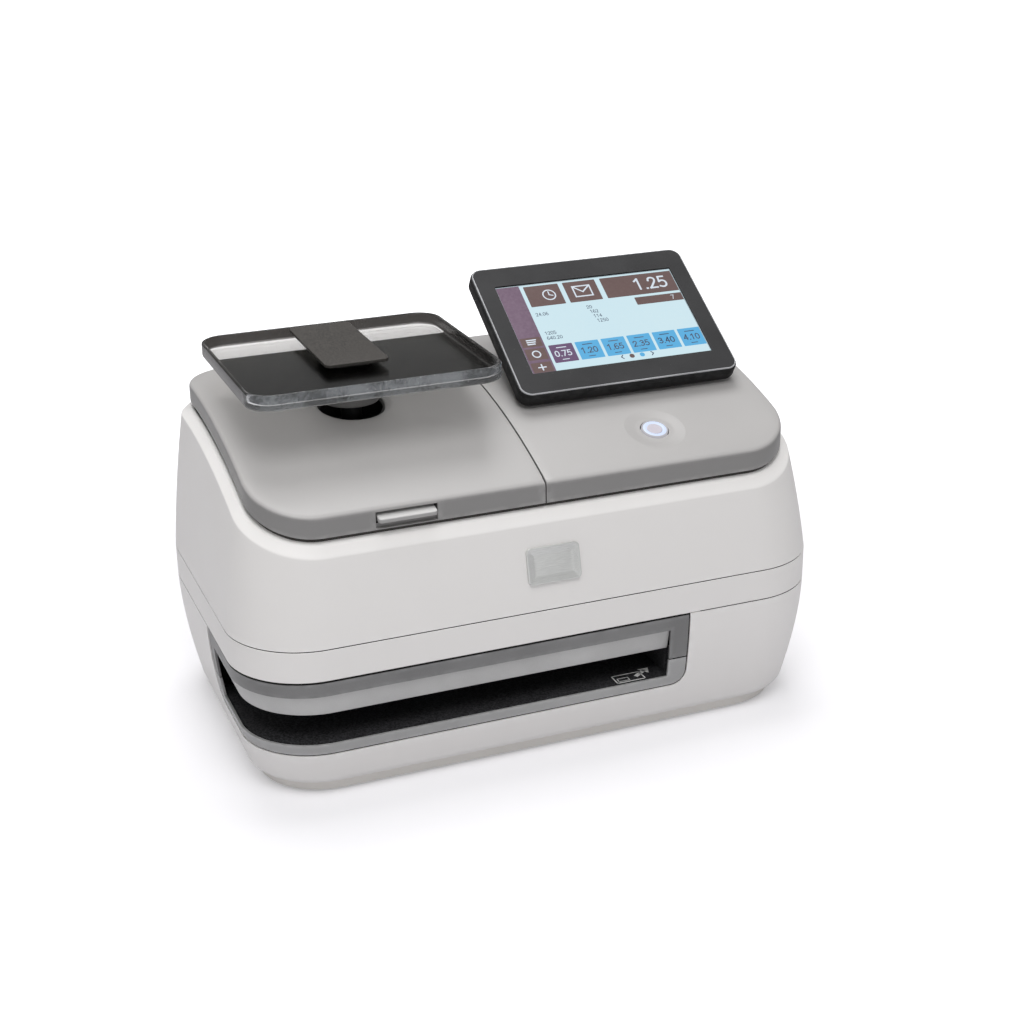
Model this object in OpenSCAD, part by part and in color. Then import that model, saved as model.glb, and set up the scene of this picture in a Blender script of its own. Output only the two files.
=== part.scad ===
// Desk postage meter with a weighing tray, a tilting touch display and a letter slot.
// X runs along the front, Y to the back and Z up from the desk. Millimetres.

/* [Body] */
// Width of the body along the front
body_w = 380; // [372:1:390]
// Depth of the body from front to back
body_d = 232; // [228:1:238]
// Corner radius of the body in plan at its widest line
corner_r = 49; // [46:1:52]
// Height of the upper seam line above the desk
seam_z = 102; // [100:0.5:105]
// Height of the band between the two seam lines
band_h = 20.4; // [19:0.2:22]
// Thickness of the moulded walls
wall = 2.6; // [2.4:0.1:2.8]

/* [Covers] */
// Height of the covers at their crown
crown_z = 211.8; // [208:0.2:216]
// Radius of the arc that the covers follow from front to back
crown_r = 418.6; // [405:0.2:440]
// Distance of the crown behind the middle of the body
crown_y = 66.6; // [62:0.2:70]
// Height of the lip round the covers
cover_lip = 12.2; // [11.6:0.1:12.8]
// Thickness of the covers
cover_t = 2.4; // [2.2:0.1:2.6]

/* [Letter slot] */
// Distance of the slot's right end from the middle
slot_right = 90; // [87:0.5:92]
// Depth of the slot behind the front face
slot_depth = 103; // [102:0.5:105]
// Height of the lower edge of the slot frame
slot_bottom = 31; // [29:0.5:32]
// Height of the deck that the letter lies on
deck_z = 38.5; // [37.5:0.5:39.5]
// Height of the lower edge of the slot's throat
throat_z = 57.5; // [56.5:0.5:59]

/* [Scale] */
// Width of the weighing tray
tray_w = 157; // [150:1:160]
// Depth of the weighing tray
tray_d = 138.5; // [134:0.5:144]
// Height of the tray's rim above the crown of the covers
tray_top = 28.2; // [26.2:0.1:32.2]
// Height of the tray from its underside to its rim
tray_h = 10; // [9:0.5:11]
// Diameter of the stem under the tray
stem_d = 37; // [35:0.5:38]

/* [Display] */
// Width of the display housing
disp_w = 151.2; // [149:0.2:154]
// Height of the display housing along its face
disp_h = 109.6; // [107:0.2:112]
// Thickness of the display housing
disp_t = 12; // [11.6:0.2:12.4]
// Tilt of the display face from the horizontal
disp_tilt = 32.4; // [30:0.2:34]
// Width of the visible screen
screen_w = 125; // [122:0.5:127]
// Height of the visible screen
screen_h = 75; // [73:0.5:77]

/* [Controls] */
// Diameter of the power button
button_d = 15.2; // [14.6:0.2:15.6]
// Travel of the power button
button_travel = 1.2; // [0.8:0.1:1.2]
// Width of the latch tab in the scale cover
latch_w = 35.6; // [33:0.2:36.4]

/* [Print unit] */
// Diameter of the rods that the print carriage slides on
rod_d = 8; // [7:0.5:9]
// Width of the print carriage along the rods
carriage_w = 60; // [59:0.5:62]
// Radius of the toothed belt's pulleys
pulley_r = 6; // [5.6:0.1:6.2]

/* [Hidden] */
$fn = 48;

// Clear gap between pieces that only lie side by side
gap = 0.4;
// Segments in each rounded corner and along each side of the body
corner_n = 9;
side_n = 8;

hw = body_w / 2;
hd = body_d / 2;
lower_seam_z = seam_z - band_h;
foot_h = 1.5;
base_z = 6;
floor_z = 8.5;
round_z = 15.5;
base_tuck = 9;
base_round = 14;
groove = 0.6;

// Upper shell: how far its rim lies in from the widest line and below the covers
rim_inset = 11;
rim_drop = cover_lip + 4.8;
land_drop = cover_lip + 1.5;
land_inset = 16;
mouth_inset = 18.5;

// Covers in plan
cover_in = [17, 15];
cover_hw = hw - cover_in[0];
cover_hd = hd - cover_in[1];
cover_r = 37;
seam_gap = 0.8;
tab_w = 10;

// Cover hinge at the back
hinge_in = 10.5;
hinge_rise = 1.1;
hinge_y = hd - hinge_in;
hinge_z = crown(cover_hd, cover_lip) + hinge_rise;
hinge_r = 3.6;
hinge_pin_r = 1.5;
hinge_len = 18;
hinge_edge = [33, 35];
hinge_x = [-cover_hw + hinge_edge[0], -hinge_edge[1]];
ear_t = 3.5;

// Scale
scale_x = -cover_hw / 2;
scale_y = 3;
tray_wall = 2.6;
tray_floor = 3;
tray_r = 16;
pad_w = 40;
pad_len = 87;
pad_front = 0.8;
tray_z = crown_z + tray_top - tray_h;
stem_clear = 1.7;
stem_z = crown(scale_y) + stem_clear;
well_r = 21;
post_r = 6.5;
cell_w = 12.7;
cell_len = 80;
bracket_below = 41.8;
bracket_z = crown_z - bracket_below;
bracket_t = 2.5;
bracket_over = 19;
bracket_hd = 33;
cell_lift = 3;
post_lift = 2;
cell_back = 9.5;
cell_z = bracket_z + bracket_t + cell_lift;
post_z = cell_z + cell_w + post_lift;
cell_x0 = scale_x - cell_back;

// Latch in the front lip of the scale cover
latch_x = scale_x;
latch_in = 9.5;
latch_drop = 6.8;
latch_y = -cover_hd + latch_in;
latch_z = crown(-cover_hd) - latch_drop;
latch_pin_r = 1.2;
lug_t = 3;
lug_x = latch_w / 2 + 1.7;

// Display
disp_off = 0.9;
disp_in = 75.13;
disp_rise = 12.64;
disp_x = cover_hw / 2 - disp_off;
disp_y = -hd + disp_in;
disp_z = crown(disp_y) + disp_rise;
disp_r = 8;
bezel_t = 4.2;
glass_step = 1.2;
glass_edge = 3.5;
disp_board_t = 1.8;
dh_y = 14.1;
dh_drop = 5.5;
dh_z = -disp_t - dh_drop;
dh_r = 4.5;
dh_pin_r = 2;
dh_x = 30;
dh_len = 18;
dh_ear = 4;
dh_hw = dh_x + dh_len / 2 + gap + dh_ear;
dish_wall = 2.5;
dish_hw = dh_hw + 2.5 + dish_wall;
dish_hd = 12;
dish_floor = 14.5;
axis_y = disp_y + dh_y * cos(disp_tilt) - dh_z * sin(disp_tilt);
axis_z = disp_z + dh_y * sin(disp_tilt) + dh_z * cos(disp_tilt);

// Power button
button_off = 0.5;
button_in = 46;
button_x = cover_hw / 2 - button_off;
button_y = -hd + button_in;
button_lean = asin((crown_y - button_y) / crown_r);
button_gap = 0.6;
cap_r = button_d / 2 - 2.4;
button_h = 6;
button_sink = 0.3;
skirt = 1.8;
skirt_h = 1.4;
switch_w = 38;
switch_d = 14;
switch_t = 1.6;
switch_below = 7.2;
switch_z = button_h + switch_below;
switch_post = 14;
switch_post_r = 2.5;
dish_r = 120;
dish_depth = 1.2;

// Print unit behind and above the letter slot
slot_back = -hd + slot_depth;
slot_jamb = 13;
slot_leg = 12;
slot_end = slot_right - slot_jamb;
deck_t = 2.5;
deck_inset = 7.2;
deck_leg_r = 4;
deck_leg_in = [60, 27, 67, 17];
deck_legs = [[-hw + deck_leg_in[0], slot_end - deck_leg_in[1]],
  [slot_back - deck_leg_in[2], slot_back - deck_leg_in[3]]];
guide_t = 2.5;
plate_w = 70;
plate_t = 2.5;
plate_end = 17;
plate_x = slot_end - plate_end - plate_w;
plate_post_r = 3;
plate_post_in = 15;
guide_hd = 9;
guide_h = 16;
post_clear = 5;
plate_posts = [plate_x + plate_post_in, plate_x + plate_w - plate_post_in];
window_w = 130;
window_end = 7;
window_x = slot_end - window_end - window_w;
leg_y = slot_back - slot_leg;
strip_rise = 14.5;
strip_z = throat_z + strip_rise;
split_below = 6.5;
split_z = throat_z - split_below;
ceil_z = throat_z + 0.5;
ceil_t = 2.5;
ceil_top = ceil_z + ceil_t;
spine_y = slot_back + 1;
spine_t = 2;
spine_back = spine_y + spine_t;
spine_rise = 92;
spine_top = ceil_z + spine_rise;
spine_edge = 40;
spine_hw = hw - spine_edge;
flange_d = 20;
rod_r = rod_d / 2;
rod_rise = 30;
rod_z = ceil_z + rod_rise;
rod_back = 20;
rod_pitch = 40;
rod_ys = [spine_y - rod_back, spine_y - rod_back - rod_pitch];
rod_in = 32;
rod_past = 14;
rod_x0 = -hw + rod_in;
rod_x1 = slot_end + rod_past;
rod_over = 3;
rod_plate_t = 4;
idler_in = 18;
carriage_x = rod_x0 + idler_in + carriage_w / 2;
carriage_lap = 6;
carriage_y0 = rod_ys[1] - carriage_lap;
carriage_y1 = rod_ys[0] + carriage_lap;
carriage_lift = 3.5;
carriage_z = ceil_top + carriage_lift;
pocket_w = 25;
cartridge_h = 64;
pocket_d = 26;
pocket_y0 = (rod_ys[0] + rod_ys[1] - pocket_d) / 2;
pocket_y1 = pocket_y0 + pocket_d;
belt_rise = 53;
belt_z = ceil_z + belt_rise;
belt_t = 1.2;
belt_w = 6;
belt_off = 8;
belt_y = spine_y - belt_off;
belt_r = pulley_r + 0.3;
idler_x = rod_x0 + idler_in;
motor_out = 21;
motor_x = rod_x1 + motor_out;
motor_r = 17.5;
motor_len = 42;
shaft_r = 2.5;
nose_r = 6;
flange = 2;

// Screws and feet under the base
screw_in = [32, 56];
screw_x = hw - screw_in[0];
screw_y = hd - screw_in[1];
screw_r = 1.5;
screw_len = 11;
screw_head_r = 3.5;
screw_head_h = 2.2;
boss_r = 4;
boss_h = 7;
foot_in = [50, 41];
foot_x = hw - foot_in[0];
foot_y = hd - foot_in[1];
foot_r = 9;
pan_inset = 17;

// Main board and power supply on the base floor, and the sockets in the back wall
floor_edge = 40;
board_d = 71;
board_edge = 23;
board_x = -hw + floor_edge;
board_y = hd - board_edge - board_d;
board_rise = 6.5;
board_z = floor_z + board_rise;
board_t = 1.6;
board_post_r = 3.5;
board_post_in = 8;
psu_w = 108;
psu_d = 68;
psu_h = 34;
psu_edge = 28;
psu_x = hw - floor_edge - psu_w;
psu_y = hd - psu_edge - psu_d;
board_gap = 22;
board_w = psu_x - board_gap - board_x;
inlet_w = 27.4;
inlet_h = 20;
inlet_d = 20;
inlet_wall = 2;
inlet_edge = 80;
inlet_drop = 19.6;
inlet_x = hw - inlet_edge;
inlet_z = lower_seam_z - inlet_drop;
pin_pitch = 7;
pin_w = 2;
pin_h = 4;
lan_w = 16;
lan_h = 13.5;
lan_d = 18;
lan_wall = 2;
lan_edge = 20;
lan_x = board_x + board_w - lan_edge;

// Badge on the front of the upper shell
badge_w = 34;
badge_h = 24.4;
badge_r = 5;
badge_t = 1.9;
badge_at = 0.53;

// Height of the cover arc at a depth y, measured a given drop below the covers' top
function crown(y, drop = 0) =
  crown_z - crown_r + sqrt(pow(crown_r - drop, 2) - pow(y - crown_y, 2));

// Inset of the base wall at a height, counted from the widest line
function base_inset(z) =
  base_tuck * pow((lower_seam_z - z) / (lower_seam_z - round_z), 1.7);

// Inset of the upper shell at a share t of its height
function shell_inset(t) = rim_inset * (0.65 * t + 0.35 * t * t);

// Rounded rectangle as points, with steps along its left and right sides
function outline(a, b, r) = [
  for (q = [0:3]) each concat(
    [for (i = [0:corner_n]) let (t = 90 * q + 90 * i / corner_n)
      [(q == 0 || q == 3 ? 1 : -1) * (a - r) + r * cos(t),
       (q < 2 ? 1 : -1) * (b - r) + r * sin(t)]],
    q % 2 == 0 ? [] : [for (j = [1:side_n - 1])
      [(q == 1 ? -1 : 1) * a, (q == 1 ? 1 : -1) * (b - r) * (1 - 2 * j / side_n)]])
];
function body_outline(inset) = outline(hw - inset, hd - inset, corner_r - 0.55 * inset);
function flat_ring(inset, z) = [for (p = body_outline(inset)) [p[0], p[1], z]];
function crowned_ring(inset, drop) =
  [for (p = body_outline(inset)) [p[0], p[1], crown(p[1], drop)]];
function rising_ring(inset, t) =
  [for (p = body_outline(inset)) [p[0], p[1], seam_z + t * (crown(p[1], rim_drop) - seam_z)]];

// Skin through rings of points: a closed tube, or a body with flat ends round the middle
module loft(rings, closed) {
  n = len(rings[0]);
  k = len(rings);
  skin = [
    for (j = [0:closed ? k - 1 : k - 2], i = [0:n - 1])
      let (a = j * n + i, b = j * n + (i + 1) % n, m = ((j + 1) % k) * n)
      each [[a, m + i, m + (i + 1) % n], [a, m + (i + 1) % n, b]]
  ];
  last = (k - 1) * n;
  mids = closed ? [] : [[0, 0, rings[0][0][2]], [0, 0, rings[k - 1][0][2]]];
  ends = closed ? [] : [
    for (i = [0:n - 1]) let (m = (i + 1) % n) each [[k * n, i, m], [k * n + 1, last + m, last + i]]
  ];
  polyhedron(points = concat([for (r = rings) each r], mids), faces = concat(skin, ends), convexity = 8);
}

// Box between two corners
module span(a, b) {
  translate(a) cube(b - a);
}

// Cylinder along X or along Y from a start point
module rod_x(p, r, len) {
  translate(p) rotate([0, 90, 0]) cylinder(h = len, r = r);
}
module rod_y(p, r, len) {
  translate(p) rotate([-90, 0, 0]) cylinder(h = len, r = r);
}

// Everything below the cover arc at a given drop
module under_arc(drop) {
  translate([-hw, crown_y, crown_z - crown_r])
    rotate([0, 90, 0]) cylinder(h = body_w, r = crown_r - drop, $fn = 180);
}

// Space that the letter slot takes out of the base, less a margin all round
module slot_space(margin) {
  r = 10 - margin;
  z0 = slot_bottom + margin;
  x1 = slot_right - margin;
  y1 = slot_back - margin;
  far = 2 * hw;
  top = lower_seam_z + 10;
  arc = [for (i = [0:6]) [r * sin(15 * i), r * (1 - cos(15 * i))]];
  intersection() {
    translate([0, far, 0]) rotate([90, 0, 0]) linear_extrude(2 * far)
      polygon(concat([[-far, z0]], [for (p = arc) [x1 - r + p[0], z0 + p[1]]], [[x1, top], [-far, top]]));
    translate([-far, 0, 0]) rotate([90, 0, 90]) linear_extrude(2 * far)
      polygon(concat([[-far, z0]], [for (p = arc) [y1 - r + p[0], z0 + p[1]]], [[y1, top], [-far, top]]));
  }
}

// Thin skin just inside the base wall's outer face, where the slot trims lie
module slot_skin() {
  steps = [0:5];
  z0 = slot_bottom - 1;
  z1 = lower_seam_z - gap;
  intersection() {
    loft(concat(
      [for (i = steps) let (z = z0 + (z1 - z0) * i / 5) flat_ring(base_inset(z) + 0.5, z)],
      [for (i = steps) let (z = z1 - (z1 - z0) * i / 5) flat_ring(base_inset(z) + 2.1, z)]), true);
    slot_space(gap);
  }
}

module base_shell() {
  outer = concat(
    [for (i = [0:3]) let (t = 90 - 30 * i)
      flat_ring(base_tuck + base_round * (1 - cos(t)), round_z - (round_z - base_z) * sin(t))],
    [for (i = [1:6]) let (z = round_z + (lower_seam_z - round_z) * i / 6) flat_ring(base_inset(z), z)]);
  inner = concat(
    [for (i = [6:-1:1]) let (z = round_z + (lower_seam_z - round_z) * i / 6)
      flat_ring(base_inset(z) + wall, z)],
    [flat_ring(base_tuck + wall + 0.6, round_z - 0.5), flat_ring(base_tuck + base_round, floor_z)]);
  color([0.91, 0.9, 0.89]) difference() {
    union() {
      loft(concat(outer, inner), false);
      for (x = [-1, 1], y = [-1, 1]) translate([x * screw_x, y * screw_y, floor_z - 1])
        cylinder(h = boss_h + 1, r = boss_r);
      for (x = [board_post_in, board_w - board_post_in], y = [board_post_in, board_d - board_post_in])
        translate([board_x + x, board_y + y, floor_z - 1])
          cylinder(h = board_z - floor_z + 1, r = board_post_r);
    }
    slot_space(0);
    for (x = [-1, 1], y = [-1, 1]) translate([x * screw_x, y * screw_y, base_z - 1])
      cylinder(h = screw_len + 1, r = screw_r + 0.1);
    span([inlet_x - inlet_w / 2 - gap, hd - 12, inlet_z - inlet_h / 2 - gap],
      [inlet_x + inlet_w / 2 + gap, hd + 1, inlet_z + inlet_h / 2 + gap]);
    span([lan_x - lan_w / 2 - gap, hd - lan_d - 4, board_z + board_t - gap],
      [lan_x + lan_w / 2 + gap, hd + 1, board_z + board_t + lan_h + 0.5]);
  }
}

module bottom_pan() {
  color([0.8, 0.79, 0.78]) difference() {
    translate([0, 0, foot_h]) linear_extrude(base_z - foot_h) polygon(body_outline(pan_inset));
    for (x = [-1, 1], y = [-1, 1]) translate([x * screw_x, y * screw_y, 0]) {
      cylinder(h = base_z + 1, r = screw_r + 0.3);
      cylinder(h = foot_h + screw_head_h + 0.2, r = screw_head_r + gap);
    }
  }
}

module rubber_feet() {
  color([0.15, 0.15, 0.15])
    for (x = [-1, 1], y = [-1, 1]) translate([x * foot_x, y * foot_y, 0])
      cylinder(h = foot_h, r = foot_r);
}

module case_screws() {
  color([0.6, 0.6, 0.62])
    for (x = [-1, 1], y = [-1, 1]) translate([x * screw_x, y * screw_y, foot_h + 0.2]) difference() {
      union() {
        cylinder(h = screw_head_h, r = screw_head_r);
        cylinder(h = screw_len, r = screw_r);
      }
      for (a = [0, 90]) rotate([0, 0, a])
        cube([screw_head_r * 1.25, screw_head_r * 0.23, screw_head_h * 0.8], center = true);
    }
}

module middle_band() {
  color([0.91, 0.9, 0.89]) loft([
    flat_ring(1.2, lower_seam_z),
    flat_ring(1.2, lower_seam_z + groove),
    flat_ring(0, lower_seam_z + groove),
    flat_ring(0, seam_z - groove),
    flat_ring(1.2, seam_z - groove),
    flat_ring(1.2, seam_z),
    flat_ring(wall, seam_z),
    flat_ring(wall, lower_seam_z)], true);
}

// Ear of a cover hinge on the upper shell's back rim
module hinge_ear(x) {
  rod_x([x, hinge_y, hinge_z], hinge_r, ear_t);
  span([x, hinge_y - hinge_r, hinge_z - 15], [x + ear_t, hinge_y + hinge_r, hinge_z]);
}

module upper_shell() {
  color([0.91, 0.9, 0.89]) difference() {
    union() {
      loft(concat(
        [for (i = [0:6]) rising_ring(shell_inset(i / 6), i / 6)],
        [crowned_ring(rim_inset + 1.7, rim_drop - 2.1),
         crowned_ring(land_inset, land_drop),
         crowned_ring(mouth_inset, land_drop),
         crowned_ring(mouth_inset, land_drop + 4),
         crowned_ring(rim_inset + wall + 0.4, rim_drop + 5)],
        [for (i = [5:-1:0]) rising_ring(shell_inset(i / 6) + wall, i / 6 * 0.98)]), true);
      for (x = hinge_x) {
        hinge_ear(x - hinge_len / 2 - gap - ear_t);
        hinge_ear(x + hinge_len / 2 + gap);
      }
    }
    for (x = hinge_x)
      rod_x([x - hinge_len, hinge_y, hinge_z], hinge_pin_r + 0.03, 2 * hinge_len);
  }
}

module slot_upper_trim() {
  color([0.5, 0.5, 0.51]) difference() {
    slot_skin();
    span([-body_w, -body_d, 0], [slot_end, leg_y, strip_z]);
    span([-body_w, -body_d, 0], [body_w, 0, split_z + 0.2]);
  }
}

module slot_lower_trim() {
  color([0.5, 0.5, 0.51]) difference() {
    slot_skin();
    span([-body_w, -body_d, deck_z], [slot_end, leg_y, seam_z]);
    span([-body_w, -body_d, split_z - 0.2], [body_w, 0, seam_z]);
  }
}

module slot_throat() {
  color([0.66, 0.66, 0.67]) intersection() {
    loft([
      flat_ring(6.5, throat_z), flat_ring(2.6, strip_z + 1.5),
      flat_ring(4.8, strip_z + 1.5), flat_ring(8.7, throat_z)], true);
    span([-body_w, -body_d, 0], [slot_end + 1, leg_y + 1, seam_z]);
  }
}

module letter_deck() {
  color([0.07, 0.07, 0.07]) difference() {
    union() {
      intersection() {
        translate([0, 0, deck_z - deck_t]) linear_extrude(deck_t) polygon(body_outline(deck_inset));
        span([-body_w, -body_d, 0], [slot_end + 1 + guide_t, spine_y, seam_z]);
      }
      span([slot_end + 1, -hd + 11, deck_z - deck_t], [slot_end + 1 + guide_t, spine_y, ceil_z]);
      for (x = deck_legs[0], y = deck_legs[1]) translate([x, y, floor_z])
        cylinder(h = deck_z - floor_z - deck_t / 2, r = deck_leg_r);
    }
    span([plate_x - gap, pocket_y0 - gap, 0], [plate_x + plate_w + gap, pocket_y1 + gap, deck_z + 1]);
    for (x = [-1, 1], y = [-1, 1]) translate([x * screw_x, y * screw_y, 0])
      cylinder(h = floor_z + boss_h + 2, r = boss_r + 1);
  }
}

module letter_guide() {
  color([0.07, 0.07, 0.07])
    span([-hw + 14, spine_y - guide_t, deck_z], [slot_end + 1, spine_y, ceil_z]);
}

module print_guide() {
  color([0.09, 0.09, 0.09]) difference() {
    intersection() {
      translate([0, 0, ceil_z]) linear_extrude(ceil_top - ceil_z) polygon(body_outline(9));
      span([-body_w, -body_d, 0], [slot_end + 1 + guide_t, spine_y, seam_z]);
    }
    span([window_x, pocket_y0 + 2, 0], [slot_end - window_end, pocket_y1 - 2, seam_z]);
    span([-body_w, leg_y, 0], [-hw + 12, 0, seam_z]);
  }
}

module pressure_plate() {
  color([0.12, 0.12, 0.12]) {
    span([plate_x, pocket_y0, deck_z - plate_t], [plate_x + plate_w, pocket_y1, deck_z]);
    for (x = plate_posts) translate([x, (pocket_y0 + pocket_y1) / 2, floor_z + post_clear])
      cylinder(h = deck_z - floor_z - post_clear - plate_t / 2, r = plate_post_r);
  }
}

module plate_guide() {
  y = (pocket_y0 + pocket_y1) / 2;
  color([0.3, 0.3, 0.32]) difference() {
    span([plate_x + plate_post_r, y - guide_hd, floor_z],
      [plate_x + plate_w - plate_post_r, y + guide_hd, floor_z + guide_h]);
    for (x = plate_posts) translate([x, y, floor_z - 1]) cylinder(h = 2 * guide_h, r = plate_post_r + 0.08);
  }
}

module spine_plate() {
  color([0.7, 0.71, 0.72]) difference() {
    union() {
      span([-spine_hw, spine_y, floor_z], [spine_hw, spine_back, spine_top]);
      span([-spine_hw, spine_y, spine_top - spine_t], [spine_hw, spine_y + flange_d, spine_top]);
    }
    rod_y([motor_x, spine_y - 1, belt_z], nose_r + 0.2, 10);
  }
}

module rod_brackets() {
  color([0.7, 0.71, 0.72]) for (x = [rod_x0, rod_x1 - rod_plate_t]) difference() {
    span([x, carriage_y0 - 2, ceil_top], [x + rod_plate_t, spine_y, rod_z + 3 * rod_r]);
    for (y = rod_ys) rod_x([x - 1, y, rod_z], rod_r + 0.03, rod_plate_t + 2);
  }
}

module guide_rods() {
  color([0.8, 0.81, 0.83])
    for (y = rod_ys) rod_x([rod_x0 - rod_over, y, rod_z], rod_r, rod_x1 - rod_x0 + 2 * rod_over);
}

module print_carriage() {
  x0 = carriage_x - carriage_w / 2;
  x1 = carriage_x + carriage_w / 2;
  color([0.25, 0.26, 0.28]) difference() {
    union() {
      span([x0, carriage_y0, carriage_z], [x1, carriage_y1, rod_z + 2 * rod_r]);
      span([carriage_x - 8, carriage_y1 - 6, rod_z + 4], [carriage_x + 8, belt_y - 0.5, belt_z - 3]);
      span([carriage_x - 8, carriage_y1 - 6, belt_z - 11], [carriage_x + 8, spine_y - 1.5, belt_z - 3]);
    }
    span([carriage_x - 9, belt_y - 0.4, belt_z - belt_r - belt_t - 0.4],
      [carriage_x + 9, spine_y, belt_z - belt_r + 0.4]);
    for (x = [carriage_x - pocket_w - 2, carriage_x + 2]) {
      span([x, pocket_y0, carriage_z + 2], [x + pocket_w, pocket_y1, belt_z]);
      span([x + 4, pocket_y0 + 6, 0], [x + pocket_w - 4, pocket_y1 - 6, belt_z]);
    }
    for (y = rod_ys) rod_x([x0 - 1, y, rod_z], rod_r + 0.08, carriage_w + 2);
  }
}

module ink_cartridges() {
  color([0.16, 0.2, 0.35]) for (x = [carriage_x - pocket_w - 2, carriage_x + 2]) {
    span([x + 0.3, pocket_y0 + 0.3, carriage_z + 2],
      [x + pocket_w - 0.3, pocket_y1 - 0.3, carriage_z + cartridge_h]);
    span([x + 4.3, pocket_y0 + 6.3, ceil_top + 2], [x + pocket_w - 4.3, pocket_y1 - 6.3, carriage_z + 3]);
  }
}

module capping_pad() {
  color([0.2, 0.2, 0.2])
    span([carriage_x - carriage_w / 2 + 2, pocket_y0 + 1, ceil_top],
      [carriage_x + carriage_w / 2 - 2, pocket_y1 - 1, ceil_top + carriage_lift - 2]);
}

module drive_motor() {
  color([0.35, 0.36, 0.38]) difference() {
    union() {
      rod_y([motor_x, spine_back, belt_z], motor_r, motor_len);
      rod_y([motor_x, spine_y, belt_z], nose_r, spine_t + 2);
    }
    rod_y([motor_x, spine_y - 1, belt_z], shaft_r + 0.08, 16);
  }
}

// Flanged belt pulley along Y, its groove centred on the belt
module pulley(x, bore) {
  translate([x, belt_y, belt_z]) rotate([-90, 0, 0]) rotate_extrude() polygon([
    [bore, -1.4], [pulley_r + flange, -1.4], [pulley_r + flange, -0.5], [pulley_r, -0.5],
    [pulley_r, belt_w + 0.5], [pulley_r + flange, belt_w + 0.5],
    [pulley_r + flange, belt_w + 1.4], [bore, belt_w + 1.4]]);
}

module motor_pulley() {
  color([0.75, 0.76, 0.78]) {
    pulley(motor_x, 0);
    rod_y([motor_x, belt_y, belt_z], shaft_r, 20);
  }
}

module idler_pulley() {
  color([0.75, 0.76, 0.78]) pulley(idler_x, shaft_r + 0.06);
}

module idler_axle() {
  color([0.8, 0.81, 0.83]) {
    rod_y([idler_x, belt_y - 3, belt_z], shaft_r, spine_y - belt_y + 3);
    rod_y([idler_x, belt_y - 3.2, belt_z], shaft_r + 1.2, 1.2);
  }
}

module carriage_belt() {
  module loop(r) {
    for (x = [idler_x, motor_x]) translate([x, 0]) circle(r);
    translate([idler_x, -r]) square([motor_x - idler_x, 2 * r]);
  }
  color([0.1, 0.1, 0.1]) translate([0, belt_y + belt_w, belt_z]) rotate([90, 0, 0])
    linear_extrude(belt_w) difference() {
      loop(belt_r + belt_t);
      loop(belt_r);
    }
}

module main_board() {
  top = board_z + board_t;
  chips = [[40, 18, 28, 2.4], [90, 23, 18, 1.8]];
  cans = [board_w - 2 * lan_edge, board_w - 2 * lan_edge + 12];
  color([0.1, 0.35, 0.2]) {
    span([board_x, board_y, board_z], [board_x + board_w, board_y + board_d, top]);
    for (c = chips) translate([board_x + c[0], board_y + c[1], top - 0.2]) cube([c[2], c[2], c[3] + 0.2]);
    for (x = cans) translate([board_x + x, board_y + 16, top - 0.2]) cylinder(h = 14, r = 5);
  }
}

module power_supply() {
  color([0.62, 0.63, 0.65]) translate([psu_x, psu_y, floor_z]) cube([psu_w, psu_d, psu_h]);
}

module power_inlet() {
  y1 = hd - 2.4;
  color([0.08, 0.08, 0.08]) {
    difference() {
      span([inlet_x - inlet_w / 2, y1 - inlet_d, inlet_z - inlet_h / 2],
        [inlet_x + inlet_w / 2, y1, inlet_z + inlet_h / 2]);
      span([inlet_x - inlet_w / 2 + inlet_wall, y1 - inlet_d + 5, inlet_z - inlet_h / 2 + inlet_wall],
        [inlet_x + inlet_w / 2 - inlet_wall, y1 + 1, inlet_z + inlet_h / 2 - inlet_wall]);
    }
    for (x = [inlet_x - pin_pitch, inlet_x, inlet_x + pin_pitch])
      span([x - pin_w / 2, y1 - inlet_d + 4, inlet_z - pin_h / 2],
        [x + pin_w / 2, y1 - 4, inlet_z + pin_h / 2]);
  }
}

module data_socket() {
  z0 = board_z + board_t;
  y1 = hd - base_inset(z0 + 4) - 2.6;
  color([0.7, 0.7, 0.7]) difference() {
    span([lan_x - lan_w / 2, y1 - lan_d, z0], [lan_x + lan_w / 2, y1, z0 + lan_h]);
    span([lan_x - lan_w / 2 + lan_wall, y1 - lan_d + 6, z0 + 1.5],
      [lan_x + lan_w / 2 - lan_wall, y1 + 1, z0 + lan_h - 3.5]);
  }
}

module badge_plate() {
  t = badge_at;
  z = seam_z + t * (crown(-hd, rim_drop) - seam_z);
  lean = atan(rim_inset * (0.65 + 0.7 * t) / (crown(-hd, rim_drop) - seam_z));
  color([0.75, 0.76, 0.78]) translate([0, -hd + shell_inset(t) + 0.5, z]) rotate([90 - lean, 0, 0])
    linear_extrude(badge_t) polygon(outline(badge_w / 2, badge_h / 2, badge_r));
}

// Lip and skin of a cover: the half of the crowned lid on one side of the middle
module cover_half(side) {
  module half(inset) {
    intersection() {
      polygon(outline(cover_hw - inset, cover_hd - inset, cover_r - inset));
      translate([side > 0 ? seam_gap / 2 + inset : -hw - seam_gap / 2 - inset, -hd]) square([hw, body_d]);
    }
  }
  difference() {
    intersection() {
      linear_extrude(crown_z + 10) half(0);
      under_arc(0);
    }
    intersection() {
      linear_extrude(crown_z + 10) half(cover_t);
      under_arc(cover_t);
    }
    under_arc(cover_lip);
  }
}

// Frame of the button: its own Z points out of the cover
module at_button() {
  translate([button_x, button_y, crown(button_y)]) rotate([button_lean, 0, 0]) children();
}

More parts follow.
